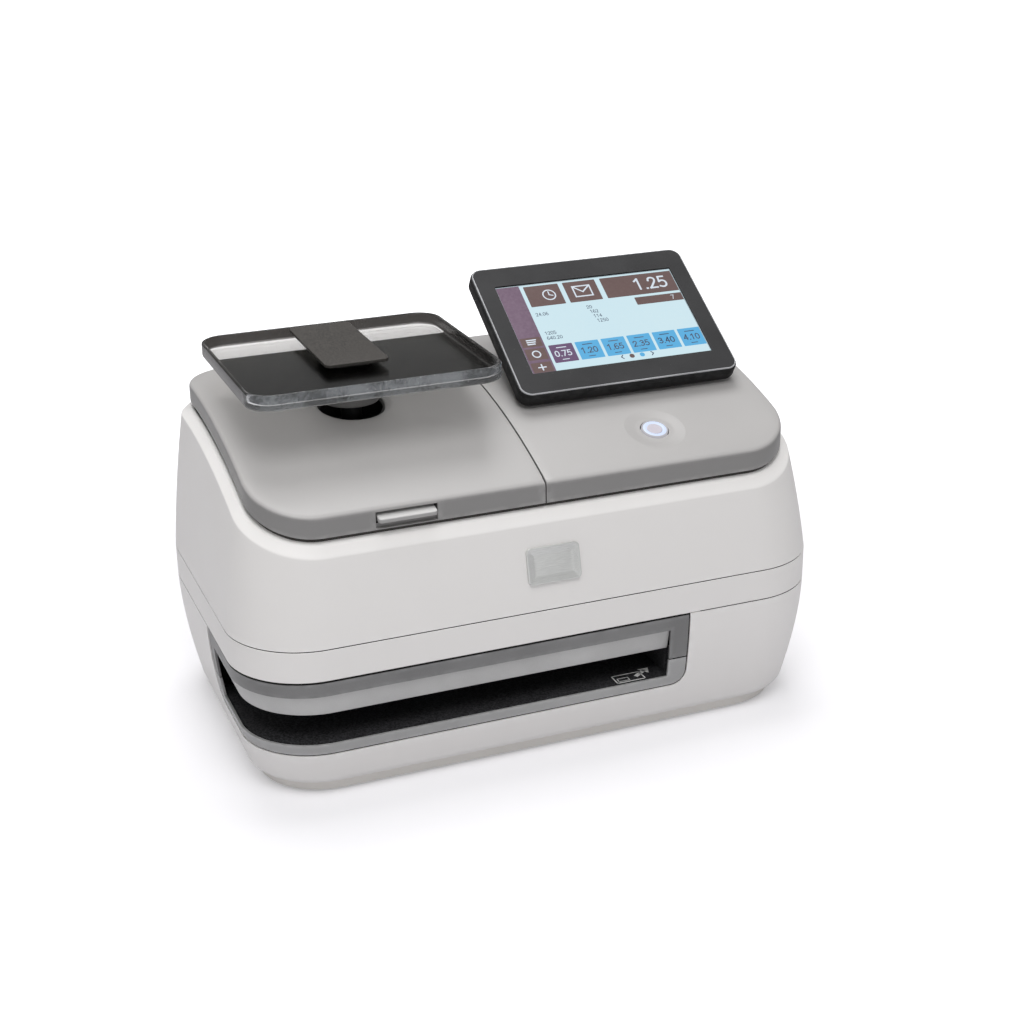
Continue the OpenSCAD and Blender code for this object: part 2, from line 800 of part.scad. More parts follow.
module display_cover() {
  color([0.68, 0.67, 0.67]) difference() {
    union() {
      cover_half(1);
      difference() {
        intersection() {
          union() {
            for (x = [35, cover_hw - 48]) span([x, cover_hd - 2.3, 0], [x + tab_w, cover_hd - 1.2, crown_z]);
            span([cover_hw - 2.3, 20, 0], [cover_hw - 0.6, 20 + tab_w, crown_z]);
          }
          under_arc(cover_t);
        }
        under_arc(land_drop);
      }
      for (s = [-1, 1]) translate([disp_x + s * (dish_hw + boss_r + 2), spine_y + flange_d / 2, spine_top])
        cylinder(h = crown(spine_y + flange_d / 2) - spine_top - cover_t / 2, r = boss_r);
      at_button() for (x = [-switch_post, switch_post]) translate([x, 0, switch_t - switch_z])
        cylinder(h = switch_z - switch_t - cover_t / 2, r = switch_post_r);
    }
    at_button() {
      translate([0, 0, -button_h]) cylinder(h = 2 * button_h, r = button_d / 2 + button_gap);
      translate([0, 0, dish_r - dish_depth]) sphere(dish_r, $fn = 120);
    }
    span([disp_x - dh_hw - 1.5, axis_y - dish_hd + 4, 0],
      [disp_x + dh_hw + 1.5, axis_y + dish_hd - 4, crown_z]);
  }
}

module scale_cover() {
  color([0.68, 0.67, 0.67]) difference() {
    union() {
      cover_half(-1);
      for (x = hinge_x) {
        rod_x([x - hinge_len / 2, hinge_y, hinge_z], hinge_r, hinge_len);
        span([x - hinge_len / 2, cover_hd - 1, hinge_z - 1],
          [x + hinge_len / 2, hinge_y, hinge_z + hinge_r]);
      }
      for (s = [-1, 1]) span(
        [latch_x + s * lug_x - (s < 0 ? lug_t : 0), -cover_hd + 1.2, latch_z - 5],
        [latch_x + s * lug_x + (s > 0 ? lug_t : 0), latch_y + 4.5, crown(-cover_hd + 1.2) - 1]);
      for (x = [cell_x0 - bracket_over + 7, cell_x0 + cell_len - 1],
        y = [scale_y - bracket_hd + 7, scale_y + bracket_hd - 7])
        translate([x, y, bracket_z + bracket_t])
          cylinder(h = crown(y) - bracket_z - bracket_t - cover_t / 2, r = boss_r);
    }
    for (x = hinge_x) rod_x([x - hinge_len, hinge_y, hinge_z], hinge_pin_r + 0.08, 2 * hinge_len);
    translate([scale_x, scale_y, bracket_z + 10]) cylinder(h = 60, r = well_r);
    span([latch_x - latch_w / 2 - 0.9, -hd, 0],
      [latch_x + latch_w / 2 + 0.9, -cover_hd + cover_t + 1, latch_z + 4.7]);
    rod_x([latch_x - lug_x - lug_t - 1, latch_y, latch_z], latch_pin_r + 0.03, 2 * (lug_x + lug_t + 1));
  }
}

module cover_hinge_pins() {
  len = hinge_len + 2 * (gap + ear_t) + 1;
  color([0.75, 0.76, 0.78]) for (x = hinge_x) rod_x([x - len / 2, hinge_y, hinge_z], hinge_pin_r, len);
}

module latch_lever() {
  half = latch_w / 2;
  tip = -cover_hd - 4;
  color([0.74, 0.74, 0.74]) difference() {
    union() {
      rod_x([latch_x - lug_x + 0.4, latch_y, latch_z], 3, 2 * lug_x - 0.8);
      translate([latch_x, (latch_y + tip) / 2, latch_z - 2]) linear_extrude(3.2)
        polygon(outline(half, (latch_y - tip) / 2, 3.5));
      span([latch_x - 8, latch_y - 1.5, latch_z - 14], [latch_x + 8, latch_y + 1.5, latch_z]);
      span([latch_x - 8, latch_y, latch_z - 14], [latch_x + 8, latch_y + 3, latch_z - 12]);
    }
    rod_x([latch_x - lug_x, latch_y, latch_z], latch_pin_r + 0.08, 2 * lug_x);
  }
}

module latch_pin() {
  len = 2 * (lug_x + lug_t);
  color([0.75, 0.76, 0.78]) rod_x([latch_x - len / 2, latch_y, latch_z], latch_pin_r, len);
}

module latch_keeper() {
  z = latch_z - 20;
  y0 = -hd + rim_inset + 1.5;
  y1 = latch_y + 3.5;
  color([0.7, 0.71, 0.72]) {
    for (x = [-14, 11]) span([latch_x + x, y0, z], [latch_x + x + 3, y1 + 3, z + 4]);
    span([latch_x - 14, y1, z], [latch_x + 14, y1 + 3, z + 10]);
  }
}

module scale_well() {
  z0 = post_z + 0.5;
  color([0.06, 0.06, 0.06]) difference() {
    intersection() {
      union() {
        translate([scale_x, scale_y, z0]) cylinder(h = 40, r = well_r - 0.1);
        difference() {
          translate([scale_x, scale_y, z0]) cylinder(h = 40, r = well_r + 3);
          under_arc(cover_t + 2.2);
        }
      }
      under_arc(cover_t + 0.05);
    }
    translate([scale_x, scale_y, z0 + 1.8]) cylinder(h = 40, r = well_r - 1.6);
    translate([scale_x, scale_y, z0 - 1]) cylinder(h = 40, r = post_r + 0.3);
  }
}

module load_cell_bracket() {
  color([0.6, 0.61, 0.63]) {
    span([cell_x0 - bracket_over, scale_y - bracket_hd, bracket_z],
      [cell_x0 + cell_len + 5, scale_y + bracket_hd, bracket_z + bracket_t]);
    span([cell_x0 + cell_len - 20, scale_y - cell_w / 2, bracket_z + bracket_t - 0.5],
      [cell_x0 + cell_len, scale_y + cell_w / 2, cell_z]);
  }
}

module load_cell() {
  y0 = scale_y - cell_w / 2;
  mid = cell_x0 + cell_len / 2;
  color([0.78, 0.79, 0.8]) difference() {
    span([cell_x0, y0, cell_z], [cell_x0 + cell_len, y0 + cell_w, cell_z + cell_w]);
    for (x = [mid - 7, mid + 7]) rod_y([x, y0 - 1, cell_z + cell_w / 2], 4.4, cell_w + 2);
    span([mid - 7, y0 - 1, cell_z + cell_w / 2 - 1.5],
      [mid + 7, y0 + cell_w + 1, cell_z + cell_w / 2 + 1.5]);
    for (x = [5, cell_len - 5]) translate([cell_x0 + x, scale_y, cell_z - 1])
      cylinder(h = cell_w + 2, r = 2);
  }
}

module weigh_tray() {
  color([0.2, 0.2, 0.2, 0.6]) translate([scale_x, scale_y, tray_z]) difference() {
    linear_extrude(tray_h) polygon(outline(tray_w / 2, tray_d / 2, tray_r));
    translate([0, 0, tray_floor]) linear_extrude(tray_h)
      polygon(outline(tray_w / 2 - tray_wall, tray_d / 2 - tray_wall, tray_r - tray_wall));
  }
}

module tray_pad() {
  rim = tray_h - tray_floor;
  y1 = tray_d / 2 - tray_wall - 0.1;
  y0 = y1 - pad_len;
  color([0.13, 0.12, 0.12]) translate([scale_x - pad_w / 2, scale_y, tray_z + tray_floor])
    rotate([90, 0, 90]) linear_extrude(pad_w) polygon([[y0, 0], [y1, 0], [y1, rim], [y0, rim * pad_front]]);
}

module tray_stem() {
  color([0.16, 0.16, 0.16]) translate([scale_x, scale_y, stem_z])
    cylinder(h = tray_z - stem_z, r = stem_d / 2);
}

module weigh_post() {
  color([0.6, 0.61, 0.63]) translate([scale_x, scale_y, post_z]) cylinder(h = stem_z - post_z, r = post_r);
}

// Frame of the display: X along its width, Y up its face and Z out of the face
module at_display() {
  translate([disp_x, disp_y, disp_z]) rotate([disp_tilt, 0, 0]) children();
}

module display_bezel() {
  color([0.08, 0.08, 0.08]) at_display() translate([0, disp_h / 2, 0]) difference() {
    translate([0, 0, -bezel_t]) linear_extrude(bezel_t) polygon(outline(disp_w / 2, disp_h / 2, disp_r));
    cube([screen_w, screen_h, 3 * disp_t], center = true);
    translate([0, 0, -disp_t - glass_step])
      cube([screen_w + 2 * glass_edge + 0.6, screen_h + 2 * glass_edge + 0.6, 2 * disp_t], center = true);
  }
}

module screen_panel() {
  color([0.75, 0.87, 0.9]) at_display() translate([0, disp_h / 2, -(bezel_t + glass_step) / 2])
    cube([screen_w + 2 * glass_edge, screen_h + 2 * glass_edge, bezel_t - glass_step], center = true);
}

module display_board() {
  color([0.1, 0.35, 0.2]) at_display() translate([0, disp_h / 2, -bezel_t - disp_board_t / 2])
    cube([screen_w - 15, screen_h - 5, disp_board_t], center = true);
}

module display_back() {
  function plate_ring(inset, z) =
    [for (p = outline(disp_w / 2 - inset, disp_h / 2 - inset, disp_r)) [p[0], p[1], z]];
  color([0.08, 0.08, 0.08]) at_display() difference() {
    union() {
      translate([0, disp_h / 2, 0]) difference() {
        loft([
          plate_ring(3.4, -disp_t), plate_ring(1, -disp_t + 1.2), plate_ring(0, -disp_t + 3.6),
          plate_ring(0, -bezel_t)], false);
        translate([0, 0, -disp_t + 2.2]) linear_extrude(20)
          polygon(outline(disp_w / 2 - 4.2, disp_h / 2 - 4.2, 5));
      }
      for (x = [-dh_x, dh_x]) {
        rod_x([x - dh_len / 2, dh_y, dh_z], dh_r, dh_len);
        span([x - dh_len / 2, dh_y - 3, dh_z], [x + dh_len / 2, dh_y + 4.2, -disp_t + 1]);
      }
    }
    rod_x([-disp_w / 2, dh_y, dh_z], dh_pin_r + 0.08, disp_w);
  }
}

module display_bracket() {
  z0 = axis_z - dish_floor;
  color([0.3, 0.3, 0.31]) difference() {
    union() {
      intersection() {
        difference() {
          span([disp_x - dish_hw, axis_y - dish_hd, z0], [disp_x + dish_hw, axis_y + dish_hd, crown_z]);
          span([disp_x - dish_hw + dish_wall, axis_y - dish_hd + 3, z0 + 2.4],
            [disp_x + dish_hw - dish_wall, axis_y + dish_hd - 3, crown_z + 1]);
        }
        under_arc(cover_t + 0.05);
      }
      for (x = [-dh_x, dh_x], s = [-1, 1]) {
        e = disp_x + x + s * (dh_len / 2 + gap + dh_ear / 2) - dh_ear / 2;
        rod_x([e, axis_y, axis_z], dh_r, dh_ear);
        span([e, axis_y - dh_r, z0 + 1], [e + dh_ear, axis_y + dh_r, axis_z]);
      }
    }
    rod_x([disp_x - disp_w / 2, axis_y, axis_z], dh_pin_r + 0.03, disp_w);
  }
}

module display_hinge_pin() {
  color([0.75, 0.76, 0.78]) rod_x([disp_x - dh_hw, axis_y, axis_z], dh_pin_r, 2 * dh_hw);
}

module button_cap() {
  color([0.78, 0.75, 0.76]) at_button() translate([0, 0, -button_h])
    cylinder(h = button_h - button_sink, r = cap_r);
}

module button_ring() {
  r = button_d / 2;
  color([0.85, 0.87, 0.98]) at_button() rotate_extrude() polygon([
    [cap_r + 0.1, -button_h], [r + skirt, -button_h], [r + skirt, skirt_h - button_h],
    [r, skirt_h - button_h], [r, -button_sink - 0.5], [r - 0.5, -button_sink], [cap_r + 0.1, -button_sink]]);
}

module button_switch() {
  color([0.15, 0.4, 0.25]) at_button() {
    translate([-switch_w / 2, -switch_d / 2, -switch_z]) cube([switch_w, switch_d, switch_t]);
    translate([-3, -3, switch_t - switch_z - 0.2])
      cube([6, 6, switch_z - switch_t - button_h - button_travel - 0.2]);
  }
}

base_shell();
bottom_pan();
rubber_feet();
case_screws();
middle_band();
upper_shell();
slot_upper_trim();
slot_lower_trim();
slot_throat();
letter_deck();
letter_guide();
print_guide();
pressure_plate();
plate_guide();
spine_plate();
rod_brackets();
guide_rods();
print_carriage();
ink_cartridges();
capping_pad();
drive_motor();
motor_pulley();
idler_pulley();
idler_axle();
carriage_belt();
main_board();
power_supply();
power_inlet();
data_socket();
badge_plate();
display_cover();
scale_cover();
cover_hinge_pins();
latch_lever();
latch_pin();
latch_keeper();
scale_well();
load_cell_bracket();
load_cell();
weigh_tray();
tray_pad();
tray_stem();
weigh_post();
display_bezel();
screen_panel();
display_board();
display_back();
display_bracket();
display_hinge_pin();
button_cap();
button_ring();
button_switch();
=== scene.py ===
"""Looks of a desk postage meter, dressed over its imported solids.

Shells, covers, tray, display and controls are surfaces worked out with numpy in millimetres, in the frame
of the solids: X runs along the front, Y to the back and Z up from the desk.
"""

import logging
import math
from dataclasses import dataclass, field
from enum import Enum

import bmesh
import bpy
import numpy as np
from mathutils import Matrix, Vector

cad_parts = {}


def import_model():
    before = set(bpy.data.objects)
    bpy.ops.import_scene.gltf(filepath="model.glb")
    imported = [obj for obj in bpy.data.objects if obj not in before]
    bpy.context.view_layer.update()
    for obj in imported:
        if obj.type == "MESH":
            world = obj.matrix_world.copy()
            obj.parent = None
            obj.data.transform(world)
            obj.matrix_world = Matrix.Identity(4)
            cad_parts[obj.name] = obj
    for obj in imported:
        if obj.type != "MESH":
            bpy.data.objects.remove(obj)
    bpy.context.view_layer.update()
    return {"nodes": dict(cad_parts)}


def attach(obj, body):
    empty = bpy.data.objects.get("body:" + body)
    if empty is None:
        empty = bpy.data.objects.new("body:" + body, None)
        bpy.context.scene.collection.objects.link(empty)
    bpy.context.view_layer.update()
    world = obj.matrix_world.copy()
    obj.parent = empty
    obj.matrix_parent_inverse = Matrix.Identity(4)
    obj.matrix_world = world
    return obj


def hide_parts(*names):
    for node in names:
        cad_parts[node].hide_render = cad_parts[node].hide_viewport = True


LOG = logging.getLogger("postage_meter")
MM = 0.001
WHITE = (1.0, 1.0, 1.0, 1.0)
BLACK = (0.0, 0.0, 0.0, 1.0)
UNLIT = (0.02, 0.02, 0.022, 1.0)
DUST_RGB = (150, 148, 145)
SHADED_SIDE_SPAN = (0.3, 0.62)
EDGE_WEAR_AND_HIGHLIGHT_SCALE = 160.0
DUST_SCALE = 420.0
RARE_SCALE = 90.0

Array = np.ndarray
Colour = tuple[int, int, int]
Line = tuple[tuple[float, float], ...]
Socket = bpy.types.NodeSocket
Sockets = bpy.types.bpy_prop_collection


def linear(rgb: Colour, gain: float = 1.0) -> tuple[float, ...]:
    """Linear colour of an sRGB triple, made lighter or darker and held at 1.

    Args:
        rgb: red, green and blue from 0 to 255.
        gain: what the linear colour is multiplied by.

    Returns:
        Red, green and blue from 0 to 1, and an alpha of 1.
    """
    share = np.array(rgb) / 255.0
    value = np.where(share <= 0.04045, share / 12.92, ((share + 0.055) / 1.055) ** 2.4)
    return (*np.minimum(value * gain, 1.0).tolist(), 1.0)


class Tree:
    """Adds nodes to a shader tree and links them."""

    def __init__(self, tree: bpy.types.NodeTree) -> None:
        """Takes the tree that the nodes go into."""
        self.tree = tree

    def feed(self, node: bpy.types.Node, inputs: dict) -> bpy.types.Node:
        """Sets or links inputs of a node.

        Args:
            node: the node.
            inputs: socket names or numbers, each with a value or with a socket to link from.

        Returns:
            The node itself.
        """
        for key, value in inputs.items():
            if isinstance(value, Socket):
                self.tree.links.new(value, node.inputs[key])
            else:
                node.inputs[key].default_value = value
        return node

    def add(self, kind: str, inputs: dict | None = None, **settings: object) -> bpy.types.Node:
        """Adds one node.

        Args:
            kind: the node's type name.
            inputs: what its inputs take, as feed has it.
            settings: properties of the node.

        Returns:
            The new node.
        """
        node = self.tree.nodes.new(kind)
        for key, value in settings.items():
            setattr(node, key, value)
        return self.feed(node, inputs or {})

    def value(self, operation: str, a: object, b: object = 0.5) -> Socket:
        """Result of a math node on two values or sockets."""
        return self.add("ShaderNodeMath", {0: a, 1: b}, operation=operation).outputs[0]

    def product(self, a: object, b: object) -> Socket:
        """Product of two values or sockets."""
        return self.value("MULTIPLY", a, b)

    def ramp(self, source: Socket, low: float, high: float, start: float = 0.0, end: float = 1.0) -> Socket:
        """Source mapped from the span low to high onto start to end, and held there."""
        return self.add("ShaderNodeMapRange", {0: source, 1: low, 2: high, 3: start, 4: end}).outputs[0]

    def blend(self, factor: object, a: object, b: object) -> Socket:
        """Colour a turned into colour b by a factor."""
        return self.add("ShaderNodeMix", {0: factor, 6: a, 7: b}, data_type="RGBA").outputs[2]

    def noise(self, place: Socket, scale: object, detail: float) -> Socket:
        """Values of a noise texture."""
        return self.add("ShaderNodeTexNoise", {"Vector": place, "Scale": scale, "Detail": detail}).outputs[0]

    def parts(self, vector: Socket) -> Sockets:
        """X, Y and Z of a vector."""
        return self.add("ShaderNodeSeparateXYZ", {0: vector}).outputs


class Effect(Enum):
    """Surface effects that several finishes share: a node group's name, its inputs and its outputs."""

    GRAIN = ("moulded_grain", ("Fine", "Broad", "Share"), ("Height", "Tone"))
    # Rubbed edges: wear, and at large amounts a painted highlight along sharp edges.
    WEAR_AND_HIGHLIGHT = ("rubbed_and_highlighted_edges", ("Scale", "Amount"), ("Mask",))
    DUST = ("dust_specks", ("Scale", "Size"), ("Mask",))
    BRUSH = ("brushed_lines", ("Lines", "Broad"), ("Height", "Tone"))

    def group(self) -> bpy.types.NodeTree:
        """Finds the effect's node group, or makes it on first use.

        Returns:
            The group, whose first input is the place on the surface.
        """
        name, wants, gives = self.value
        found = bpy.data.node_groups.get(name)
        if found:
            return found
        tree = bpy.data.node_groups.new(name, "ShaderNodeTree")
        tree.interface.new_socket(name="Vector", in_out="INPUT", socket_type="NodeSocketVector")
        for sockets, way in ((wants, "INPUT"), (gives, "OUTPUT")):
            for socket in sockets:
                tree.interface.new_socket(name=socket, in_out=way, socket_type="NodeSocketFloat")
        nodes = Tree(tree)
        given, made = nodes.add("NodeGroupInput").outputs, nodes.add("NodeGroupOutput").inputs
        for socket, result in zip(made, self._results(nodes, given)):
            tree.links.new(result, socket)
        return tree

    def _results(self, nodes: Tree, given: Sockets) -> tuple[Socket, ...]:
        """Makes the group's nodes.

        Args:
            nodes: the group's tree.
            given: what the group is given, with the place on the surface first.

        Returns:
            What goes to each of the group's outputs.
        """
        place, scale, second = given[0], given[1], given[2]
        if self is Effect.GRAIN:
            fine, broad = nodes.noise(place, scale, 2.0), nodes.noise(place, second, 3.0)
            tone = nodes.add("ShaderNodeMix", {0: given[3], 2: broad, 3: fine}).outputs[0]
            return fine, nodes.ramp(tone, 0.34, 0.66)
        if self is Effect.WEAR_AND_HIGHLIGHT:
            edge = nodes.add("ShaderNodeAttribute", attribute_name="edge").outputs["Fac"]
            rubbed = nodes.product(edge, nodes.ramp(nodes.noise(place, scale, 4.0), 0.35, 0.7))
            return (nodes.product(rubbed, second),)
        if self is Effect.DUST:
            cell = nodes.add("ShaderNodeTexVoronoi", {"Vector": place, "Scale": scale}).outputs["Distance"]
            rare = nodes.ramp(nodes.noise(place, RARE_SCALE, 1.0), 0.52, 0.62)
            return (nodes.product(nodes.value("LESS_THAN", cell, second), rare),)
        drawn = nodes.add("ShaderNodeMapping", {"Vector": place, "Scale": (0.04, 1.0, 1.0)}).outputs[0]
        fine, broad = nodes.noise(drawn, scale, 3.0), nodes.noise(place, second, 2.0)
        return fine, nodes.value("ADD", nodes.product(fine, 0.6), nodes.product(broad, 0.4))


class Paint(Tree):
    """Tree of a new material, with its shader, its Object coordinates and its normal."""

    def __init__(self, name: str) -> None:
        """Starts the material.

        Args:
            name: the material's name.
        """
        self.material = bpy.data.materials.new(name)
        self.material.use_nodes = True
        super().__init__(self.material.node_tree)
        self.shader = self.tree.nodes["Principled BSDF"]
        seen = self.add("ShaderNodeTexCoord").outputs
        self.place, self.normal = seen["Object"], seen["Normal"]

    def effect(self, effect: Effect, *values: float) -> Sockets:
        """Outputs of a shared effect that is given values of its own."""
        node = self.add("ShaderNodeGroup", node_tree=effect.group())
        return self.feed(node, dict(enumerate((self.place, *values)))).outputs

    def bump(self, height: Socket, depth_mm: float) -> Socket:
        """Normal raised by a height of the given depth."""
        return self.add("ShaderNodeBump", {"Height": height, "Distance": depth_mm * MM}).outputs[0]

    def done(self, inputs: dict) -> bpy.types.Material:
        """The material, once its shader's inputs are fed."""
        self.feed(self.shader, inputs)
        return self.material


@dataclass(frozen=True)
class Finish:
    """A moulded or painted finish, with the record's slot that it belongs to.

    grain_mm and depth_mm are the width and depth of its grain, speckle is the fine grain's share of its tone,
    broad is how closely the coarse part varies, spread is how far the tone goes, and side is painted shade: the
    darker colour of the faces that don't look up, where less light falls.
    """

    name: str
    slot: str
    rgb: Colour
    rough: float = 0.45
    grain_mm: float = 0.4
    depth_mm: float = 0.02
    spread: float = 0.05
    edge_wear_and_highlight: float = 0.25
    dust: float = 0.0
    metal: float = 0.0
    specular: float = 0.5
    # painted shade: the colour of the faces that don't look up
    side: Colour | None = None
    speckle: float = 0.35
    broad: float = 22.0

    def material(self) -> bpy.types.Material:
        """The finish as a material, made on first use and named apart from the solids' own."""
        label = f"{self.name}_finish"
        return bpy.data.materials.get(label) or self._make(Paint(label))

    def _grain(self, paint: Paint) -> tuple[Socket, Socket]:
        """Height and tone of the finish's grain."""
        grain = paint.effect(Effect.GRAIN, 1.0 / (self.grain_mm * MM), self.broad, self.speckle)
        return grain["Height"], grain["Tone"]

    def _make(self, paint: Paint) -> bpy.types.Material:
        """Paints the finish: grain, then painted shade on the sides, rubbed edges that carry a painted highlight
        where the wear is strong, and dust.

        Args:
            paint: the tree of its new material.

        Returns:
            The material.
        """
        height, tone = self._grain(paint)
        colour = paint.blend(tone, linear(self.rgb, 1.0 - self.spread), linear(self.rgb, 1.0 + self.spread))
        # Painted shade: faces that don't look up take the darker side colour.
        if self.side:
            upward = paint.ramp(paint.parts(paint.normal)["Z"], *SHADED_SIDE_SPAN)
            colour = paint.blend(upward, linear(self.side), colour)
        # Rubbed edges: real wear, and where the amount is large a painted highlight on the edges.
        if self.edge_wear_and_highlight:
            pale = np.minimum(np.array(linear(self.rgb)[:3]) * 1.25 + 0.03, 0.95)
            colour = paint.blend(paint.effect(Effect.WEAR_AND_HIGHLIGHT, EDGE_WEAR_AND_HIGHLIGHT_SCALE, self.edge_wear_and_highlight)[0], colour, (*pale, 1.0))
        if self.dust:
            colour = paint.blend(paint.effect(Effect.DUST, DUST_SCALE, self.dust)[0], colour, linear(DUST_RGB))
        return paint.done({
            "Base Color": colour,
            "Roughness": paint.ramp(tone, 0.0, 1.0, self.rough - 0.05, self.rough + 0.06),
            "Normal": paint.bump(height, self.depth_mm),
            "Metallic": self.metal,
            "Specular IOR Level": self.specular,
        })


@dataclass(frozen=True)
class BrushedMetal(Finish):
    """Drawn or brushed metal with fine lines along X."""

    metal: float = 1.0
    broad: float = 30.0
    lines: float = 2200.0

    def _make(self, paint: Paint) -> bpy.types.Material:
        """Paints the brushed lines.

        Args:
            paint: the tree of its new material.

        Returns:
            The material.
        """
        brush = paint.effect(Effect.BRUSH, self.lines, self.broad)
        tone = brush["Tone"]
        return paint.done({
            "Base Color": paint.blend(paint.ramp(tone, 0.35, 0.65), linear(self.rgb, 0.86), linear(self.rgb, 1.12)),
            "Roughness": paint.ramp(tone, 0.3, 0.7, self.rough - 0.07, self.rough + 0.08),
            "Normal": paint.bump(brush["Height"], self.depth_mm),
            "Metallic": self.metal,
        })


@dataclass(frozen=True)
class SmokedPlastic(Finish):
    """Clear smoked plastic with faint dust and handling marks, deeper in its walls, and near black on the top face
    of its floor ahead of the rear strip, which paints the shade under the tray into what shows through.

    The front wall gets a painted glow that stands in for light the sheet has caught and lets out at its edge. The
    rest of the light that falls on it goes through, so each of its faces holds back only a share of it. Spans and
    fades are heights and depths in millimetres in the object's own frame.
    """

    broad: float = 35.0
    marks: float = 700.0
    specks: float = 520.0
    ior: float = 1.3
    floor_shade_rgb: Colour = (6, 6, 5)
    wall_rgb: Colour = (58, 56, 54)
    front_rgb: Colour = (206, 208, 211)
    edge_glow_rgb: Colour = (80, 82, 84)
    shadow: float = 0.4
    floor_span: tuple[float, float] = (231.5, 236.0)
    floor_fade: tuple[float, float] = (40.3, 41.7)
    front_fade: tuple[float, float] = (-54.0, -42.0)

    def _make(self, paint: Paint) -> bpy.types.Material:
        """Paints the clear sheet: tints of floor and walls, with painted shade on the floor, the painted glow of
        the front wall and the shadow's share.

        Args:
            paint: the tree of its new material.

        Returns:
            The material.
        """
        marks = paint.effect(Effect.GRAIN, self.marks, self.broad, self.speckle)
        specks = paint.effect(Effect.DUST, self.specks, self.dust)[0]
        tone = marks["Tone"]
        clear = paint.blend(tone, linear(self.rgb, 0.93), linear(self.rgb, 1.07))
        spot, normal = paint.parts(paint.place), paint.parts(paint.normal)
        (low, high), fade, front = ([v * MM for v in span] for span in
                                    (self.floor_span, self.floor_fade, self.front_fade))
        level = paint.ramp(paint.value("ABSOLUTE", normal["Z"]), 0.5, 0.9)
        floor = paint.product(level, paint.value("LESS_THAN", spot["Z"], high))
        forward = paint.ramp(spot["Y"], *fade, 1.0, 0.0)
        # Painted shade: the floor's top face, except the rear strip, takes a near-black tint.
        shaded_floor = paint.product(forward, paint.value("GREATER_THAN", spot["Z"], low))
        floor_smoke_and_shade = paint.blend(shaded_floor, clear, linear(self.floor_shade_rgb))
        wall_tint = paint.blend(paint.ramp(spot["Y"], *front), linear(self.front_rgb), linear(self.wall_rgb))
        # Painted glow: the front wall emits a little light, streaked by the grain's tone.
        facing = paint.ramp(normal["Y"], -0.8, -0.3, 1.0, 0.0)
        front_wall = paint.product(facing, paint.ramp(spot["Y"], *front, 1.0, 0.0))
        painted_edge_glow = paint.product(front_wall, paint.ramp(tone, 0.35, 0.65, 0.3, 1.0))
        smooth_part = paint.ramp(tone, 0.4, 1.0, self.rough, self.rough + 0.05)
        shade = paint.add("ShaderNodeLightPath").outputs["Is Shadow Ray"]
        return paint.done({
            "Base Color": paint.blend(floor, wall_tint, floor_smoke_and_shade),
            "Roughness": paint.value("ADD", smooth_part, paint.product(specks, 0.35)),
            "Normal": paint.bump(marks["Height"], self.depth_mm),
            "Emission Color": paint.blend(painted_edge_glow, BLACK, linear(self.edge_glow_rgb)),
            "Emission Strength": 1.0,
            "Alpha": paint.ramp(shade, 0.0, 1.0, 1.0, self.shadow),
            "Transmission Weight": 1.0,
            "IOR": self.ior,
        })


@dataclass(frozen=True)
class LitSurface(Finish):
    """Lit plastic or screen glass: its own colour, which drifts to a fade colour, glows through a glossy face."""

    broad: float = 14.0
    glow: float = 1.0
    fade: Colour = (255, 255, 255)

    def _make(self, paint: Paint) -> bpy.types.Material:
        """Paints the lit face.

        Args:
            paint: the tree of its new material.

        Returns:
            The material.
        """
        height, tone = self._grain(paint)
        drift = paint.ramp(tone, 0.0, 1.0, 0.0, self.spread)
        return paint.done({
            "Emission Color": paint.blend(drift, linear(self.rgb), linear(self.fade)),
            "Emission Strength": self.glow,
            "Base Color": UNLIT,
            "Roughness": paint.ramp(tone, 0.0, 1.0, self.rough, self.rough + 0.04),
            "Normal": paint.bump(height, self.depth_mm),
        })


def screen(name: str, rgb: Colour, spread: float, fade: Colour = (255, 255, 255)) -> LitSurface:
    """A colour of the lit screen."""
    return LitSurface(f"screen_{name}", "screen", rgb, 0.12, 2.0, 0.0005, spread, glow=0.94, fade=fade)


# Side colours in these finishes are painted shade, darker than the top where less light falls.
WHITE_SHELL = Finish("white_satin_shell", "white_shell", (246, 244, 242), 0.42, 0.45, 0.010, 0.015, 0.2,
                     side=(227, 225, 223))
COVER_GREY = Finish("grey_satin_cover", "cover_grey", (178, 176, 175), 0.40, 0.5, 0.014, 0.02, 0.25,
                    side=(130, 129, 128))
LATCH_GREY = Finish("latch_grey", "latch_grey", (200, 199, 198), 0.42, 0.4, 0.012, 0.03, 0.3,
                    side=(156, 155, 154))
# Strong edge wear on the slot's trims paints a highlight along their edges.
TRIM_GREY = Finish("slot_trim_grey", "trim_grey", (116, 116, 116), 0.42, 0.3, 0.02, 0.16, 0.8)
TRIM_PALE = Finish("slot_trim_pale", "trim_grey", (160, 160, 160), 0.42, 0.3, 0.02, 0.12, 0.8)
THROAT_GREY = Finish("throat_grey", "throat_grey", (181, 181, 180), 0.42, 0.3, 0.02, 0.14, 0.3)
DECK_BLACK = Finish("deck_black", "deck_black", (54, 54, 56), 0.65, 1.0, 0.16, 0.75, 0.2, dust=0.05,
                    specular=0.12, speckle=0.85)
